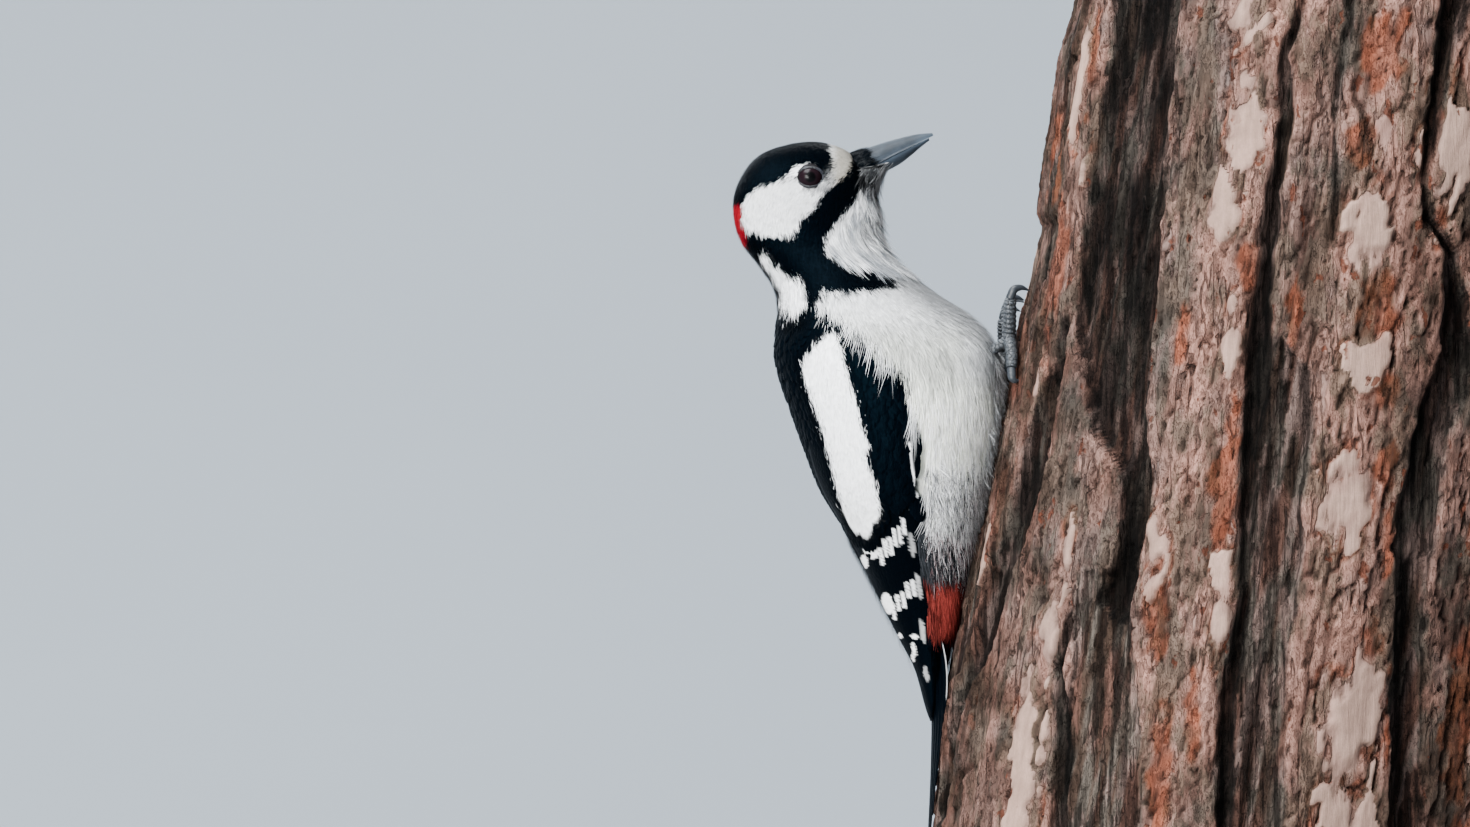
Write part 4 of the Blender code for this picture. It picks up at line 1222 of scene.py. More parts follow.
def wing_marks(points):
    """Share of white at points on the wing: upright ovals, and bars of leaning slats set high and low by
    turns, all with finely toothed edges."""
    z = points[..., 2]
    lean = lambda x, height: x + SLAT_LEAN * (height - 140.0)
    x = lean(points[..., 0], z) + 0.16 * np.sin(z * 7.3) + 0.12 * np.sin(z * 12.1 + 1.0)
    white = 0.9 * smooth(-0.12, 0.12, depth_in(points, WING_LINE))
    for middle, height, wide, high, strength in SPOTS:
        oval = 1 - np.hypot((x - lean(middle, height)) / wide, (z - height) / high)
        white = np.maximum(white, strength * smooth(-0.1, 0.1, oval))
    for start, end, count, wide, high in ZIGZAGS:
        for number in range(count):
            share = number / (count - 1)
            middle = lean(*start) + (lean(*end) - lean(*start)) * share
            height = start[1] + (end[1] - start[1]) * share + (0.5 if number % 2 else -0.5)
            gap = np.minimum(0.5 * wide - np.abs(x - middle), 0.5 * high - np.abs(z - height))
            white = np.maximum(white, smooth(-0.12, 0.12, gap))
    return white


def flight_colour(points, u):
    """Blue-black with the wing's white marks and a shaft a little paler than the vane."""
    white = wing_marks(points)
    shaft = np.broadcast_to(smooth(0.09, 0.03, np.abs(u)), points.shape[:3])
    tint = blend(np.broadcast_to(BLACK, points.shape), WHITE, white)
    return blend(tint, BLACK * 1.6, shaft * 0.6 * (1 - white)), 1.0 - 0.9 * white


def column(values):
    """One value for each feather, for arrays of a feather, a row and a column."""
    return np.asarray(values)[:, None, None]


def add_feathers(name, outer, inner, tint, gloss, t, u, way, *replaced):
    """Long feathers as closed sheets of two layers, each layer with a strip of the map to itself: the upper
    layers side by side from 0.02 to 0.48 of its width, and the under ones half a width further."""
    count, rows, columns = outer.shape[:3]
    per, lane = rows * columns, 0.46 / count
    across = 0.02 + lane * column(np.arange(count)) + lane * (0.05 + 0.45 * (u + 1))
    uv = np.stack(np.broadcast_arrays(across, 0.985 - 0.9 * t), -1)
    layers = lambda over, under: np.concatenate([part.reshape(count, per, -1) for part in (over, under)], 1)
    add_pieces(
        name, "black_plumage", layers(outer, inner), double_sheet(rows, columns)[:, ::way],
        layers(tint, tint), layers(gloss, gloss)[..., 0], layers(uv, uv + (0.5, 0)), *replaced,
    )


def wing_shell(side, name):
    """Thin closed shell under the feathers of one wing: two sheets across the wing's width. The outer lies
    0.25 mm inside the envelope at the wing's tip and 1.25 mm from the 20th station up; the inner is deeper
    by 0.1 mm and 0.6 of the wing's thickness, which goes to nothing at the rim as a square root."""
    rows, columns = 90, 26
    station = np.linspace(WING_START + 0.15, WING_END - 0.05, rows)[:, None]
    share = np.linspace(0.02, 0.985, columns)[None]
    angle = side * wing_angle(station, share)
    edge = np.minimum(1, 8 * np.minimum(share, 1 - share)) ** 0.5
    thick = np.interp(station, WING_THICK_AT, WING_THICK) * 0.6 * edge
    depth = 1.0 * smooth(23.0, 20.0, station) + 0.25
    sheets = [body(station, angle, depth), body(station, angle, depth + 0.1 + thick)]
    points = np.concatenate(sheets).reshape(-1, 3)
    spread = np.stack(np.broadcast_arrays(0.4 + 0.2 * share, station / LAST), -1).reshape(-1, 2)
    obj = mesh_object(
        f"wing_shell_{name}", points, double_sheet(rows, columns)[:, ::-side], np.tile(spread, (2, 1)),
        np.broadcast_to(BLACK, points.shape), np.ones(len(points)),
    )
    dress(
        obj, LOOKS["black_plumage"], "black_plumage", f"wing_{name}_coverts", f"wing_{name}_flight",
    )


def flight_feathers(side, name):
    """Folded flight feathers: each starts in a row across the wing and ends further down than the one
    above it, near the dorsal edge, so that only a strip of each shows below the last.

    A feather's middle runs from its start to its end, across the wing as t^1.25. Its half width is a
    half to the whole of its own, eased in over the first third, times sqrt(1 - ((t - 0.62) / 0.38)^2.2)."""
    count, rows, columns = 17, 150, 11
    share = np.linspace(0, 1, count)
    start = 14.6 + 1.2 * share
    start_share = 0.10 + 0.88 * share
    end = np.interp(share, (0, 0.2, 0.45, 0.7, 0.88, 1.0), (17.4, 18.9, 20.7, 22.0, 22.85, 22.2))
    end_share = np.interp(share, (0, 0.45, 0.8, 1.0), (0.16, 0.12, 0.35, 0.86))
    width = np.interp(share, (0, 0.3, 1.0), (11.0, 9.5, 5.5))
    t = np.linspace(0, 0.985, rows)[None, :, None]
    u = (1 - 2 * np.linspace(1, 0, columns) ** 1.5)[None, None]
    half = 0.5 * column(width) * (0.5 + 0.5 * smooth(0, 0.3, t))
    half = half * np.sqrt(1 - np.clip((t - 0.62) / 0.38, 0, 1) ** 2.2)
    station = column(start) + column(end - start) * t
    angle = wing_angle(station, column(start_share) + column(end_share - start_share) * t**1.25)
    _, size, _ = local_frame(body, station, side * angle)
    angle = side * (angle + half * u / size)
    sink = -0.25 + 1.15 * column(share) * smooth(23.2, 18.5, station) + 0.12 * u + 0.10 * u**2
    sink = sink + 1.2 * smooth(0.15, 0.0, t)
    sink = sink + 0.9 * smooth(-0.5, 1.0, depth_in(body(station, angle), SCAPULAR_PATCH))
    outer, inner = body(station, angle, sink), body(station, angle, sink + 0.22)
    tint, gloss = flight_colour(outer, u)
    add_feathers(f"flight_feathers_{name}", outer, inner, tint, gloss, t, u, -side)


def great_covert(points, u):
    """Blue-black, with the pale line of the wing's edge."""
    tint, gloss = black_vane(points, u)
    line = smooth(-0.12, 0.12, depth_in(points, WING_LINE))
    return blend(tint, WHITE * 0.9, line), gloss * (1 - line)


# Upper part of the flight feathers with the first zigzag bar, where no great covert ends
BARE_FLIGHT = (
    (-104.5, 147.0), (-99.0, 147.0), (-95.5, 148.5), (-92.8, 153.0), (-89.5, 153.0), (-89.5, 138.0),
    (-104.5, 138.0),
)
greater = rows_on(body, 14.3, 16.4, 3.4, 3.2, BACK)
on_wing = (wing_share(*greater) > 0.3) & (wing_share(*greater) < 1.04)
on_wing &= scapular_gap(*greater, 6.0) < -0.4
on_wing &= depth_in(body(behind(*greater, 10.5), greater[1]), BARE_FLIGHT) < -0.5
vanes(
    "wing_coverts_great", "black_plumage", chosen(greater, on_wing), 10.5, 5.4, great_covert, rows=26,
    columns=12, depth=(1.1, -0.35),
)
for side, name in SIDES:
    wing_shell(side, name)
    flight_feathers(side, name)


# ---------------------------------------------------------------- tail
def tail_colour(points, u):
    """Blue-black with darker shafts. The outermost feathers have a thin pale edge away from the middle."""
    z = points[..., 2]
    outermost = (np.arange(len(points)) >= len(points) - 2)[:, None, None] * np.sign(points[..., 1]) * u
    line = smooth(0.88, 0.94, outermost) * smooth(97.0, 99.0, z) * smooth(115.0, 113.0, z)
    tint = blend(np.broadcast_to(BLACK, points.shape), WHITE * 0.35, line)
    shaft = np.broadcast_to(smooth(0.13, 0.04, np.abs(u)), points.shape[:3])
    return blend(tint, BLACK * 0.6, shaft * (1 - line)), 1.0 - 0.8 * line


def tail_feathers():
    """Ten stiff pointed feathers, the middle pair longest and uppermost. Each follows the bent sheet of
    the tail, bulging outwards as a half sine between its root and tip, with a raised shaft. Its half width
    is 0.55 to the whole of its own, eased in over 0.4 of its length, times sqrt(1 - t^3.2)."""
    pairs, rows, columns, root_height = 5, 90, 13, 128.0
    side = np.tile([-1.0, 1.0], pairs)
    both = lambda values: column(np.repeat(values, 2))
    mirrored = lambda values: both(values) * column(side)
    tip_height = both((48.6, 54.5, 62.0, 71.0, 82.0))
    root_across = mirrored((1.0, 2.0, 2.9, 3.7, 4.4))
    wide_across = mirrored((2.4, 4.5, 6.5, 8.4, 9.6))
    tip_across = mirrored((1.4, 3.6, 5.8, 7.6, 9.0))
    t = np.linspace(0, 0.99, rows)[None, :, None]
    u = np.linspace(-1, 1, columns)[None, None]
    height = root_height + (tip_height - root_height) * t
    across = root_across * (1 - t) + tip_across * t
    across = across + (wide_across - 0.5 * (root_across + tip_across)) * np.sin(math.pi * t)
    half = both((3.4, 3.3, 3.2, 3.0, 2.4)) * (0.55 + 0.45 * smooth(0, 0.4, t)) * np.sqrt(1 - t**3.2)
    sink = 0.2 + 0.22 * both(np.arange(pairs)) - 0.16 * np.exp(-((u / 0.14) ** 2)) + 0.12 * u**2
    place = across + half * u
    outer, inner = tail_sheet(height, place, sink), tail_sheet(height, place, sink + 0.2)
    tint, gloss = tail_colour(outer, u)
    add_feathers("tail_feathers", outer, inner, tint, gloss, t, u, -1, "tail")


tail_feathers()


# ---------------------------------------------------------------- bill, eyes, feet
def tube(centres, radii, sides=24, rows=100, ripple=0.0, waves=0, flat=1.0):
    """A closed tube along a smooth path, its radius rippled by a cosine along it, with round ends, and flat
    times as thick one way as the other. Returns points, triangles and a plain tint."""
    centres = np.asarray(centres, float)
    at, share = np.linspace(0, len(centres) - 1, rows), np.linspace(0, 1, rows)
    path = curve_through(centres, at)
    ahead = np.gradient(path, axis=0)
    ahead /= np.linalg.norm(ahead, axis=1, keepdims=True)
    other = np.cross(ahead, np.array([0.3, 1.0, 0.2]))
    other /= np.linalg.norm(other, axis=1, keepdims=True)
    third = np.cross(ahead, other)
    radius = np.interp(at, np.arange(len(radii)), radii)
    radius = radius * (1 + ripple * np.cos(2 * math.pi * waves * share))
    ends = np.minimum(share, 1 - share) * rows / 4
    radius = radius * np.sqrt(1 - np.clip(1 - ends, 0, 1) ** 2 * 0.98)
    turn = np.linspace(0, 2 * math.pi, sides, endpoint=False)[None, :, None]
    ring = np.cos(turn) * other[:, None] + np.sin(turn) * third[:, None] * flat
    points = path[:, None] + ring * radius[:, None, None]
    points = np.concatenate([points.reshape(-1, 3), path[:1], path[-1:]])
    return points, ring_triangles(rows, sides), np.ones_like(points)


def joined(name, parts, look, slot, *replaced):
    """One piece from several (points, triangles, tints), each with its own band of the map."""
    maps, faces, base = [], [], 0
    for number, (points, triangles, _) in enumerate(parts):
        low, high = points.min(0), points.max(0)
        share = (points - low) / np.maximum(high - low, 1e-6)
        maps.append(np.stack([(number + 0.05 + 0.9 * share[:, 1]) / len(parts), share[:, 2]], -1))
        faces.append(triangles + base)
        base += len(points)
    points, tints = (np.concatenate([part[k] for part in parts]) for k in (0, 2))
    obj = mesh_object(name, points, np.concatenate(faces), np.concatenate(maps), tints)
    dress(obj, look, slot, *replaced)


HORN = horn_look("horn", (0.0075, 0.011, 0.0155), (0.030, 0.041, 0.053), 0.56)
CLAW = horn_look("claw horn", (0.012, 0.014, 0.017), (0.036, 0.042, 0.050), 0.38)
FOOT_SKIN, EYE_LOOK = scaly_look(), eye_look()


def bill(name, upper):
    """Half of the bill: a half ring along its length between the cutting edge and the ridge or keel, with
    a raised ridge line and a shallow groove beside it, closed by a flat underside."""
    rows, columns, way = 90, 33, 1 if upper else -1
    length = BILL_LENGTH if upper else LOWER_BILL_LENGTH
    along = (length * np.linspace(0, 1, rows) ** 0.9)[:, None]
    from_edge = np.linspace(0, math.pi, columns)[None]
    off_ridge = np.abs(from_edge - math.pi / 2)
    ridge = np.exp(-((off_ridge / 0.28) ** 2)) * smooth(24, 8, along)
    groove = np.exp(-(((off_ridge - 0.55) / 0.16) ** 2)) * smooth(15, 4, along)
    half_gap = 0.05
    rise = 0.14 * ridge - 0.16 * groove + half_gap
    points = bill_skin(along, from_edge * way) + BILL_UP * way * rise[..., None]

    index = np.arange(rows * columns).reshape(rows, columns)
    under = np.stack([index[:-1, -1], index[1:, -1], index[1:, 0], index[:-1, 0]], -1)
    fan = lambda line: np.stack([np.full(columns - 2, line[0]), line[1:-1], line[2:]], -1)
    quads = np.concatenate([grid_faces(rows, columns), under])[:, ::way]
    fans = np.concatenate([fan(index[0])[:, ::-1], fan(index[-1])])[:, ::way]
    triangles = np.concatenate([halves(quads), fans])[:, ::-1]

    pale = ridge * (0.9 if upper else 0.35) + smooth(18, 24, along) * 0.3
    pale = pale + smooth(0.35, 0.1, np.sin(from_edge)) * 0.3
    tint = (0.85 if upper else 1.4) + 1.6 * np.clip(pale, 0, 1)
    tint = tint.reshape(-1, 1) * np.array([0.97, 1.0, 1.04])
    joined(f"{name}_horn", [(points.reshape(-1, 3), triangles, tint)], HORN, "horn", name)


bill("bill_upper", True)
bill("bill_lower", False)


def eyeball(side, name):
    """A ball as rings about the axis across the bird, with its pupil, iris and dark rim painted on."""
    centre = EYE * (1, side, 1)
    rows, columns = 58, 64
    polar = np.linspace(0, math.pi, rows + 2)[1:-1, None]
    turn = np.linspace(0, 2 * math.pi, columns, endpoint=False)[None]
    ball = np.sin(polar) * np.cos(turn), side * np.cos(polar), np.sin(polar) * np.sin(turn)
    points = np.stack(np.broadcast_arrays(*ball), -1) * EYE_RADIUS + centre
    off = np.where(polar > math.pi / 2, EYE_RADIUS, EYE_RADIUS * np.sin(polar)) * np.ones((1, columns))
    black, iris = np.array([0.0006, 0.0006, 0.0008]), np.array([0.0055, 0.0026, 0.0040])
    rim = np.array([0.003, 0.0022, 0.003])
    tint = blend(np.broadcast_to(black, points.shape), iris, smooth(1.45, 1.7, off))
    tint = blend(tint, rim, smooth(3.0, 3.4, off))
    poles = centre + EYE_RADIUS * np.array([side * ACROSS, -side * ACROSS])
    points = np.concatenate([points.reshape(-1, 3), poles])
    tint = np.concatenate([tint.reshape(-1, 3), [black, rim]])
    triangles = ring_triangles(rows, columns)[:, ::side]
    joined(f"eyeball_{name}", [(points, triangles, tint)], EYE_LOOK, "eye", f"eye_{name}")


def eyelid(side, name):
    """Two beaded rings round the opening of an eye, drawn out to a point behind. Each is a torus on the
    ball: its middle is the opening's half sizes times cosine and sine, its bead 1 + 0.12 cos(26 turn)."""
    columns, sides = 96, 14
    turn = np.linspace(0, 2 * math.pi, columns, endpoint=False)
    around = np.linspace(0, 2 * math.pi, sides, endpoint=False)[None, :, None]
    out = np.stack([np.cos(turn), 0 * turn, np.sin(turn)], -1)[:, None]
    ring = np.cos(around) * out + np.sin(around) * side * ACROSS
    bead = (1 + 0.12 * np.cos(turn * 26))[:, None, None]
    front = smooth(0.35, 0.95, np.cos(turn))[:, None, None]
    index = np.arange(columns * sides).reshape(columns, sides)
    after = np.roll(index, -1, axis=0)
    quads = np.stack([index, after, np.roll(after, -1, 1), np.roll(index, -1, 1)], -1).reshape(-1, 4)
    parts = []
    for grow, thick, shade in ((0.0, 0.24, 0.25), (0.32, 0.20, 0.5)):
        wide, high = LID_HALF[0] - 0.15 + grow, LID_HALF[1] - 0.15 + grow
        x = EYE[0] + wide * np.cos(turn) - 1.3 * np.clip(-np.cos(turn), 0, 1) ** 9
        z = EYE[2] + high * np.sin(turn)
        reach = np.hypot(x - EYE[0], z - EYE[2])
        y = EYE[1] + np.sqrt(np.maximum((EYE_RADIUS + 0.1) ** 2 - reach**2, 0.2))
        lid = np.stack([x, side * y, z], -1)[:, None] + ring * (thick * bead)
        tint = np.broadcast_to(shade * (1 + 5 * front), lid.shape) * np.array([1.0, 0.93, 1.12])
        parts.append((lid.reshape(-1, 3), halves(quads[:, ::-side]), tint.reshape(-1, 3)))
    joined(f"eyelid_{name}", parts, FOOT_SKIN, "foot_skin")


for side, name in SIDES:
    eyeball(side, name)
    eyelid(side, name)


def bill_cover(along, angle, inward=0.0):
    """The surface of the bill's base for the bristles: the bill grown by 0.9 mm less a depth."""
    outer = bill_skin(along, angle, 0.9)
    away = outer - (BILL_ROOT + np.asarray(along)[..., None] * BILL_AHEAD)
    size = np.linalg.norm(away, axis=-1, keepdims=True)
    return outer - away / size * np.asarray(inward)[..., None]


def bristle_tint(along, angle):
    """Black, with a few greyer than the rest."""
    black = np.broadcast_to(BLACK, (len(along), 3))
    return blend(black, GREY * 0.35, 0.22 * rng.random(len(along)) ** 6), np.zeros(len(along))


def bristle_map(along, angle):
    """A thin band of the skin's unwrap, before its first ring."""
    return np.stack([0.1 + 0.8 * (angle + 0.5) / 4.2, 0.002 + 0.003 * (along + 2.2)], -1)


def bristles():
    """Bristles over the nostrils, forward along the bill from its root."""
    along, angle = rows_on(bill_cover, -2.2, 1.8, 0.8, 0.9, (-0.5, math.pi + 0.5))
    length = np.where(np.abs(angle - math.pi / 2) < 0.5, 4.0, 5.8) * rng.normal(1, 0.2, len(along))
    tufts(
        "coat_bristles", "black_plumage", bill_cover, (along, angle), length, 1.7, strand_width=0.26,
        root_depth=1.2, tip_depth=(-0.2, 0.5), colour=bristle_tint, chart=bristle_map,
    )


bristles()


def foot(side, name):
    """One foot: a tube for each toe and the leg, rippled as scutes, and four hooked claws that go on in the
    direction of the toe's last stretch and bend down to the bark."""
    height = FOOT_HEIGHT - (LEFT_FOOT_DROP if side > 0 else 0.0)
    places = lambda rows: on_log(height + rows[:, 0], FOOT_SIDE + rows[:, 1], FOOT_OFF + rows[:, 2], side)
    toes, claws = [], {}
    for digit, (rows, radii) in DIGITS.items():
        rows = np.array(rows, float)
        toes.append(tube(places(rows), radii, ripple=0.06, waves=9))
        tip = rows[-1]
        step = (tip - rows[-2])[:2]
        step /= np.linalg.norm(step)
        reach, drop = CLAW_ARCH.T
        go = (0.6 * radii[-1] + CLAW_REACH * reach)[:, None]
        off = (FOOT_OFF + tip[2]) * (1 - drop) + 0.3 * drop
        arch = np.column_stack([tip[:2] + step * go, off - FOOT_OFF])
        claws[f"claw_{digit}_{name}"] = tube(places(arch), CLAW_RADII, sides=20, rows=60, flat=0.8)
    toes.append(tube(places(np.array(TARSUS)), TARSUS_RADII, rows=110, ripple=0.045, waves=11))
    joined(f"foot_{name}", toes, FOOT_SKIN, "foot_skin", f"leg_{name}")
    for node, claw in claws.items():
        joined(f"{node}_horn", [claw], CLAW, "horn", node)


for side, name in SIDES:
    foot(side, name)


# ---------------------------------------------------------------- trunk
BARK_DARK = np.array([0.0020, 0.0015, 0.0013])
BARK_BROWN = np.array([0.046, 0.026, 0.0205])
BARK_GREY = np.array([0.088, 0.068, 0.062])
BARK_RED = np.array([0.140, 0.046, 0.026])
BARK_PINK = np.array([0.200, 0.117, 0.095])
BARK_BEIGE = np.array([0.285, 0.186, 0.147])
WOOD_PALE, WOOD_RING = np.array([0.35, 0.205, 0.108]), np.array([0.19, 0.088, 0.042])
WOOD_HEART = np.array([0.22, 0.10, 0.05])
END_GAP = 0.3


def plates(u, v, cells, seed, wrap):
    """Cells round jittered points on a lattice in (u, v), repeating in u: distance to the nearest edge
    between two cells, and a random value of the nearest cell."""
    table = np.random.default_rng(seed).random((256, 256, 3))
    u, v = u * cells[0], v * cells[1]
    left, low = np.floor(u).astype(int), np.floor(v).astype(int)
    best, second = np.full(u.shape, 9.0), np.full(u.shape, 9.0)
    value = np.zeros(u.shape)
    for i in (-1, 0, 1):
        for j in (-1, 0, 1):
            entry = table[((left + i) % wrap) % 256, (low + j) % 256]
            gap = np.hypot(left + i + entry[..., 0] - u, low + j + entry[..., 1] - v)
            nearer = gap < best
            second = np.where(nearer, best, np.minimum(second, gap))
            value = np.where(nearer, entry[..., 2], value)
            best = np.minimum(best, gap)
    return second - best, value


# Furrows of the side that is seen with the bird's right wing. Each has a depth, a darkness of the shade
# painted in it, and rows of a height and the turns in degrees of its two edges, from the line nearest the
# bird over that side.
FURROWS = (
    (5.4, 0.95, (
        (312, 25, 45), (290, 27, 47), (270, 27, 49), (250, 27, 51), (230, 29, 52), (210, 30, 53),
        (192, 37, 54), (178, 42, 55), (166, 51, 58.5), (158, 52, 59), (148, 53, 59), (138, 53, 59),
        (128, 50, 59), (120, 56, 60),
    )),
    (6.4, 1.0, ((312, 26, 45.5), (288, 28, 47), (270, 35, 48), (250, 43, 50), (236, 48, 51))),
    (1.6, 0.85, ((206, 3, 4.6), (176, 4, 6.2), (140, 4, 5.6), (100, 5, 7.2), (60, 4, 6))),
    (1.8, 0.85, ((186, 9, 11), (160, 8, 10.2), (128, 9.6, 11.8), (92, 8.6, 10.4), (50, 7, 9))),
    (1.8, 0.8, ((306, 12, 13.6), (270, 14, 16), (240, 12, 14), (214, 15, 17), (196, 14.6, 16))),
    (5.0, 0.95, (
        (212, 27, 29), (200, 27, 30), (185, 23, 30), (172, 21, 30), (160, 20, 31), (150, 20, 29),
        (140, 17, 27), (130, 15, 23), (120, 16, 23), (105, 13, 20), (85, 10, 17), (60, 8, 14),
    )),
    (4.6, 0.9, ((126, 44, 46), (110, 43, 46), (100, 44, 48), (85, 46, 51), (60, 49, 54), (40, 50, 55))),
    (2.0, 0.0, ((138, 46, 56), (120, 46, 61), (100, 48, 64), (80, 51, 67), (60, 54, 70), (40, 55, 71))),
    (6.0, 0.95, (
        (312, 71, 73.5), (295, 70.5, 73), (287, 69.5, 72), (270, 71.5, 74.5), (260, 71.5, 74.5),
        (250, 71.5, 75), (240, 71.5, 75.5), (220, 72, 76.5), (205, 72.5, 78), (195, 73, 79), (170, 75, 79),
        (130, 79, 82), (100, 78.5, 83), (60, 83, 87), (40, 84, 88),
    )),
    (3.2, 0.45, (
        (206, 74, 79), (195, 73, 86), (180, 75, 88), (160, 77, 89), (140, 78, 91), (120, 80, 91),
        (100, 79, 92), (80, 80, 94), (60, 83, 96), (40, 84, 98),
    )),
    (3.0, 0.8, ((312, 80, 83), (290, 81, 83), (270, 81, 83), (250, 84, 86), (232, 85, 87))),
    (6.0, 0.85, (
        (312, 98, 106), (290, 98, 103), (280, 99, 102), (265, 99, 102), (250, 100, 102), (240, 102, 104.5),
        (230, 107, 111), (215, 109, 115), (200, 110, 118), (188, 108, 118), (175, 107, 115),
        (150, 107, 116), (130, 109, 116), (110, 111, 118), (90, 113, 120), (60, 116, 124), (40, 118, 126),
    )),
)
# Smooth pale plates and rust-red rough patches there: turn in degrees, height, half width, half height
PLATES = (
    (20, 285, 3, 22), (27, 252, 1.6, 9), (66, 266, 6.5, 17), (64, 243, 4.4, 12), (70, 203, 3.6, 13),
    (92, 236, 6, 15), (104, 261, 8, 21), (62, 143, 4.2, 13), (76, 136, 3.4, 10), (77, 121, 3.6, 9),
    (97, 157, 9.5, 13), (105, 94, 10, 26), (106, 64, 9, 16), (42, 145, 3.2, 15), (41, 116, 4.6, 14),
    (40, 86, 7, 24), (42, 60, 8, 16), (24, 187, 2, 15), (62, 300, 8, 9), (15, 136, 1.8, 12),
    (118, 210, 7, 16), (128, 150, 7, 26), (96, 199, 7, 12),
)
RUSTS = (
    (23, 288, 2.4, 20), (22, 225, 5.5, 26), (14, 258, 6, 16), (74, 165, 5.4, 24), (65, 122, 6, 11),
    (71, 78, 4.5, 26), (75, 95, 3, 18), (103, 165, 3.6, 12), (106, 148, 3, 12), (96, 212, 8, 12),
    (101, 188, 6, 8), (81, 212, 2.4, 13), (89, 290, 8, 15), (71, 226, 4.5, 7), (112, 95, 2.6, 22),
    (105, 240, 3, 9), (128, 90, 7, 34), (16, 160, 2.5, 14), (12, 196, 6, 14), (60, 205, 3, 9),
    (88, 262, 4, 10),
)
# By the turn there: share of pink among the grey, and of brown
ZONES = np.array([
    (0, 0.2, 0.95), (18, 0.3, 0.85), (24, 0.4, 0.6), (32, 0.4, 0.4), (46, 0.3, 0.25), (58, 0.4, 0.05),
    (66, 0.95, -0.2), (74, 0.9, -0.1), (80, 0.5, 0.2), (90, 1.1, -0.2), (100, 1.1, -0.1), (106, 0.8, 0.3),
    (118, 0.4, 0.5), (135, 0.6, 0.1), (180, 0.5, 0.3), (240, 0.7, 0.1), (300, 0.4, 0.3), (360, 0.2, 0.95),
])
# How far the bark nearest the bird stands proud of its crests, by height
SLAB_AT = (
    40.0, 62.0, 72.0, 80.0, 88.0, 96.0, 110.0, 131.0, 150.0, 178.0, 186.0, 212.0, 222.0, 239.0, 243.0,
    262.0, 292.0, 300.0, 312.0,
)
SLAB = (0.0, 0.5, 1.1, 2.0, 2.8, 3.3, 3.3, 2.6, 1.8, 1.6, 0.8, 0.4, -0.6, -1.5, 1.2, 2.2, 2.0, 0.6, 0.0)


def far_furrows():
    """Furrows of the side away: one every 21 degrees, wandering and widening along its height."""
    dice = np.random.default_rng(12)
    height = np.linspace(LOG_HIGH, LOG_LOW, 9)
    made = []
    for centre in np.arange(140.0, 345.0, 21.0):
        middle = centre + np.cumsum(dice.normal(0, 1.7, len(height)))
        half = 0.8 + 5.0 * dice.random(len(height)) ** 1.5
        # Each is 5 mm deep with 0.75 of painted shade.
        made.append((5.0, 0.75, np.stack([height, middle - half, middle + half], 1)))
    return made


def apart(theta, at):
    """Degrees from a turn to others, from -180 to 180."""
    return (theta - at + 180) % 360 - 180


def furrowed(theta, height, wander):
    """Depth of the furrows at places on the bark, the share of painted shade in them, and the share of a
    furrow's floor.

    A furrow's edge is where the distance to it, moved by a wandering field, is nil; the sides fall over
    4 mm. It closes at its ends, unless they are the log's own."""
    cut, painted_furrow_shade, floor = (np.zeros(theta.shape) for _ in range(3))
    for depth, dark, rows in (*FURROWS, *far_furrows()):
        rows = np.array(rows, float)[::-1]
        low, high = (np.interp(height, rows[:, 0], rows[:, k]) for k in (1, 2))
        inward = 0.5 * (high - low) - np.abs(apart(theta, 0.5 * (low + high)))
        gap = np.radians(inward) * LOG_RADIUS + wander
        bottom, top = rows[0, 0], rows[-1, 0]
        below = height - bottom + 20.0 * (bottom <= LOG_LOW)
        above = top - height + 20.0 * (top >= LOG_HIGH)
        gap = np.minimum(gap, 0.5 * np.minimum(below, above))
        cut = np.maximum(cut, depth * smooth(-1.0, 3.0, gap))
        painted_furrow_shade = np.maximum(painted_furrow_shade, dark * smooth(-0.5, 1.4, gap))
        floor = np.maximum(floor, smooth(-0.6, 0.8, gap))
    return cut, painted_furrow_shade, floor


def ovals(theta, height, rows, torn):
    """Highest value of 1 less the distance from the middle of ovals on the bark, their edges torn by a
    field. An oval leans with the ridges, 0.11 mm round for each mm down."""
    best = np.full(theta.shape, -9.0)
    for at, middle, wide, high in rows:
        round_it = np.radians(apart(theta, at)) * LOG_RADIUS + 0.11 * (height - middle)
        down = (height - middle) / high
        half = wide * (1 - 0.4 * np.minimum(down**2, 1))
        best = np.maximum(best, 1 - np.hypot(round_it / half, down))
    return best + torn


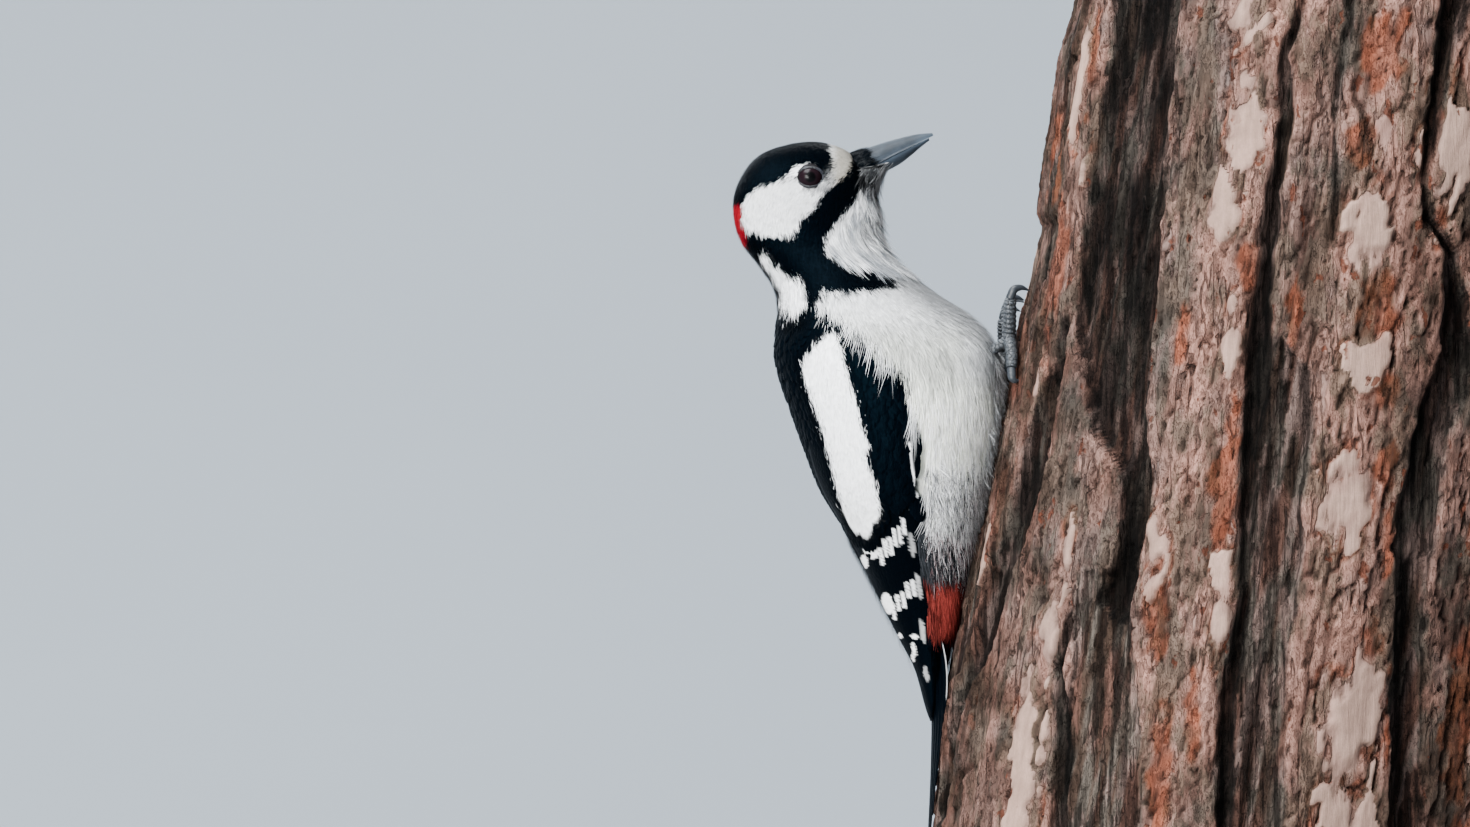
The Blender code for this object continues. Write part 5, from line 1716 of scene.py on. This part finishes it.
def bark(turn, height):
    """Relief and colour of the bark at a turn round the trunk and a height along it.

    The ground is ridges of long upright slats at uneven levels. Furrows cut it, steepest at their edges,
    which wander by two smooth fields. Smooth pale plates with rust-red rims lie on the ridges as ovals
    with torn edges, and on the side away as islands where a smooth field passes a threshold."""
    share, theta = turn / (2 * math.pi), np.degrees(-turn) % 360
    field = lambda around, tall, seed: noise(share, height, (around, 1 / tall), seed, around)
    near = np.abs(apart(theta, 0))
    wander = 1.8 * (field(70, 14, 12) - 0.5) + 1.5 * (field(190, 4.5, 13) - 0.5)
    cut, painted_furrow_shade, floor = furrowed(theta, height, wander)
    ridge = 1 - floor
    edge, level = plates(share + 0.0015 * wander, height + 5 * wander, (170, 1 / 34), 14, 170)
    slat_gap = smooth(0.10, 0.02, edge)
    _, kind = plates(share + 0.002 * wander, height + 3 * wander, (60, 1 / 24), 27, 60)
    fibre, grain, fleck = field(700, 6, 18), field(420, 1.5, 19), field(260, 4.5, 34)
    torn = 0.85 * (field(120, 6, 16) - 0.5) + 0.7 * (fleck - 0.5)
    away = smooth(126.0, 134.0, theta) * smooth(357.0, 350.0, theta)
    in_away = lambda islands: islands * away - 4 * (1 - away)
    scales = 0.5 * field(46, 19, 15) + 0.32 * field(120, 7, 17) + 0.18 * fleck + 0.10 * (kind - 0.5)
    lying = np.maximum(ovals(theta, height, PLATES, torn), in_away((scales - 0.61) * 12))
    rough = np.maximum(ovals(theta, height, RUSTS, torn), in_away((0.39 - scales) * 8))
    torn_off = smooth(0.42, 0.62, field(64, 16, 42))
    pale = np.clip(lying / (0.10 + 0.75 * torn_off), 0, 1) * ridge
    halo = smooth(-0.60, 0.05, lying) * ridge
    rim = smooth(-0.34, -0.12, lying) * smooth(0.05, -0.02, lying) * ridge

    bulge = np.interp(height, SLAB_AT, SLAB) * smooth(26.0, 15.0, near)
    relief = ridge * (2.0 * (level - 0.75) - 1.0 * slat_gap * (1 - pale) + 0.2) * (1 - 0.75 * pale)
    relief = relief + 0.9 * pale - 1.0 * rim * fleck - 0.7 * field(30, 30, 35)
    relief = relief - cut + floor * 2.2 * (level - 0.5)
    relief = relief + (0.7 * (fibre - 0.5) + 0.6 * (grain - 0.5)) * (1 - 0.7 * pale)
    relief = np.clip(relief, -7.0, 0.4) + bulge

    mottle = 0.6 * field(90, 11, 28) + 0.4 * scales
    pink = np.clip(np.interp(theta, ZONES[:, 0], ZONES[:, 1]) + 1.6 * (mottle - 0.5), 0, 1)
    brown = np.clip(np.interp(theta, ZONES[:, 0], ZONES[:, 2]) + 1.2 * (field(70, 9, 37) - 0.5), 0, 1)
    tint = blend(np.broadcast_to(BARK_GREY, (*turn.shape, 3)), BARK_PINK, pink)
    tint = blend(tint, BARK_BROWN * 1.1, brown)
    tint = blend(tint, BARK_PINK * 1.08, 0.75 * halo * (0.4 + 0.6 * fleck))
    by_the_feet = smooth(28.0, 18.0, near) * smooth(250.0, 225.0, height)
    rust = blend(BARK_RED, BARK_BROWN * (1.9, 1.5, 1.4), by_the_feet)
    tint = blend(tint, rust, smooth(0.0, 0.30, rough) * (0.60 + 0.40 * fleck) * ridge)
    tint = blend(tint, BARK_RED * 0.7, 0.8 * rim * smooth(0.42, 0.60, field(50, 12, 36)))
    tint = blend(tint, BARK_BEIGE, pale * (0.60 + 0.25 * fleck + 0.3 * (field(46, 26, 41) - 0.3)))
    # Painted shade in the gaps between the slats, which the relief also sinks.
    tint = blend(tint, BARK_BROWN * 0.35, 0.8 * slat_gap * (1 - pale) * ridge)
    strands = blend(BARK_BROWN * 0.9, BARK_GREY * 1.05, smooth(0.3, 0.7, field(280, 24, 33)))
    tint = blend(tint, strands, floor * 0.95)
    # Painted shade: the furrows darkened towards near-black by their darkness.
    tint = blend(tint, BARK_DARK, painted_furrow_shade * (0.72 + 0.28 * smooth(0.3, 0.7, field(60, 20, 30))))
    tint = tint * (0.72 + 0.22 * fibre + 0.16 * grain)[..., None]
    return relief, tint, np.clip(pale + (0.25 - 0.15 * smooth(36.0, 24.0, near)) * ridge, 0, 1)


def bark_points(turn, height):
    """Points on the bark, with its colour and the share of a plate: the log's radius and the bark's relief
    out from the axis, sheared along the axis so that a ring of one height is level."""
    relief, tint, plate = bark(turn, height)
    points = LOG_FOOT + log_spoke(turn) * (LOG_RADIUS + relief)[..., None]
    along = (height - points[..., 2]) / LOG_AXIS[2]
    return points + along[..., None] * LOG_AXIS, tint, plate


def bark_half(name, start, look):
    """Half of the bark, from a turn to half a turn further, as one sheet that the two sawn ends close."""
    rows, columns = (300, 310) if FINE else (150, 160)
    turn, height = np.broadcast_arrays(
        start + np.linspace(0, math.pi, columns)[None],
        np.linspace(LOG_LOW + END_GAP, LOG_HIGH - END_GAP, rows)[:, None],
    )
    points, tint, plate = bark_points(turn, height)
    uv = np.stack([(turn - start) / math.pi, (height - LOG_LOW) / (LOG_HIGH - LOG_LOW)], -1)
    obj = mesh_object(
        name, points.reshape(-1, 3), grid_faces(rows, columns)[:, ::-1], uv.reshape(-1, 2),
        tint.reshape(-1, 3), plate,
    )
    dress(obj, look, "bark", "perch_log")


def sawn_end(name, height, up, look):
    """A sawn end of the trunk: the bark's level outline drawn in to the pith as a share to the power 0.8,
    its rings and cracks sunk a little. A ring is half and half a sine of 34 waves over the share, which
    sway with the turn; five cracks run out from the pith."""
    rows, columns = 60, 300
    turn = np.linspace(0, 2 * math.pi, columns, endpoint=False)[None]
    outline, _, _ = bark_points(turn, np.full_like(turn, height))
    pith = LOG_FOOT + (math.tan(LOG_LEAN) * height, 0, height)
    share = np.maximum(np.linspace(0, 1, rows)[:, None] ** 0.8, 0.004)
    points = pith + (outline - pith) * share[..., None]
    wave = share * 34 + 0.8 * np.sin(2 * turn) * share
    wave = wave + 2.0 * noise(turn / (2 * math.pi), share, (9, 5), 31, 9)
    ring = 0.5 + 0.5 * np.sin(2 * math.pi * wave)
    from_crack = np.abs(np.sin(turn * 2.5 + 0.5 * share)) / (0.012 + 0.02 * share)
    crack = np.exp(-(from_crack**2)) * smooth(0.15, 0.6, share)
    wood = blend(np.broadcast_to(WOOD_PALE, points.shape), WOOD_RING, 0.8 * ring**3)
    wood = blend(wood, WOOD_HEART, 0.5 * smooth(0.55, 0.35, share))
    # Painted shade in the cracks, which are also sunk 1.2 mm.
    wood = blend(wood, BARK_DARK, 0.85 * crack)
    wood = blend(wood, BARK_BROWN * 0.8, smooth(0.915, 0.93, share))
    points[..., 2] -= up * (0.25 * ring + 1.2 * crack) * smooth(1.0, 0.97, share)
    flat = np.concatenate([points.reshape(-1, 3), [pith]])
    tint = np.concatenate([wood.reshape(-1, 3), [BARK_RED * 0.6]])
    uv = 0.5 + (flat[:, :2] - pith[:2]) / (2.2 * LOG_RADIUS)
    triangles = ring_triangles(rows, columns, poles=1)[:, ::-up]
    obj = mesh_object(name, flat, triangles, uv, tint, np.ones(len(flat)))
    dress(obj, look, "bark")


def trunk():
    """The bark as two halves that meet in furrows, and two sawn ends."""
    bark_finish, end_grain = bark_look(), end_grain_look()
    bark_half("bark_left", 0.0, bark_finish)
    bark_half("bark_right", math.pi, bark_finish)
    sawn_end("trunk_end_top", LOG_HIGH - END_GAP, 1, end_grain)
    sawn_end("trunk_end_bottom", LOG_LOW + END_GAP, -1, end_grain)


trunk()


# ---------------------------------------------------------------- stand
WOOD, STEEL = wood_look(), steel_look()
for node, look, slot in (
    ("stand_base", WOOD, "stand_wood"),
    ("stand_rod_1", STEEL, "stand_steel"),
    ("stand_rod_2", STEEL, "stand_steel"),
):
    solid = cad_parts[node]
    solid.data.materials.clear()
    dress(solid, look, slot)

# ---------------------------------------------------------------- camera, lights and floor
CAMERA_DISTANCE, FIELD_WIDTH, SENSOR = 3000.0, 441.0, 36.0
VIEW_X, VIEW_Z = -141.6, 182.95
camera = bpy.data.cameras.new("camera")
camera.sensor_width = SENSOR
camera.lens = SENSOR * CAMERA_DISTANCE / FIELD_WIDTH
camera.clip_end = 50.0
viewer = bpy.data.objects.new("camera", camera)
viewer.location = np.array([VIEW_X, -CAMERA_DISTANCE, VIEW_Z]) * MM
viewer.rotation_euler = (math.pi / 2, 0, 0)
bpy.context.scene.collection.objects.link(viewer)
bpy.context.scene.camera = viewer


def backdrop():
    """Floor and wall as one sheet: flat for 1.6 m, a quarter round of 1 m, then upright."""
    reach, radius, high, wide = 1600.0, 1000.0, 3200.0, 40000.0
    arc = np.linspace(0, math.pi / 2, 24)
    y = np.concatenate([[-wide], reach - radius + radius * np.sin(arc), [reach]])[:, None]
    z = np.concatenate([[0.0], radius - radius * np.cos(arc), [high]])[:, None]
    x = np.array([[-wide, wide]])
    points = np.stack(np.broadcast_arrays(x, y, z), -1).reshape(-1, 3)
    obj = mesh_object("floor_sheet", points, grid_faces(len(y), 2), points[:, :2] / wide)
    obj.data.materials.append(floor_look())
    obj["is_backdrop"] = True


def lamp(name, place, aim, size, power, colour):
    """A square soft light at a place in mm, aimed at another."""
    light = bpy.data.lights.new(name, "AREA")
    light.size, light.energy, light.color = size * MM, power, colour
    obj = bpy.data.objects.new(name, light)
    obj.location = Vector(place) * MM
    obj.rotation_euler = (Vector(aim) - Vector(place)).to_track_quat("-Z", "Y").to_euler()
    bpy.context.scene.collection.objects.link(obj)


backdrop()
TARGET = (-60.0, 0.0, 180.0)
lamp("sky light", (-900.0, -900.0, 1900.0), TARGET, 1300.0, 190.0, (0.95, 0.98, 1.0))
lamp("front light", (-1500.0, -2100.0, 500.0), TARGET, 900.0, 98.0, (1.0, 0.99, 0.97))
lamp("low light", (-800.0, -1700.0, 60.0), (-70.0, 0.0, 185.0), 500.0, 42.0, (1.0, 1.0, 0.98))
lamp("rim light", (-700.0, 900.0, 1100.0), TARGET, 900.0, 22.0, (0.88, 0.94, 1.0))
lamp("back light", (300.0, 1350.0, 1500.0), TARGET, 900.0, 26.0, (0.95, 0.98, 1.0))
lamp("side light", (1800.0, 500.0, 700.0), TARGET, 900.0, 60.0, (1.0, 0.99, 0.97))
world = bpy.data.worlds.new("sky")
world.use_nodes = True
sky = world.node_tree.nodes["Background"]
sky.inputs["Color"].default_value = (0.80, 0.88, 1.0, 1.0)
sky.inputs["Strength"].default_value = 0.45
bpy.context.scene.world = world

bpy.context.view_layer.update()
low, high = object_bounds()
{"cad": [list(corner) for corner in cad_box], "scene": [list(low), list(high)]}
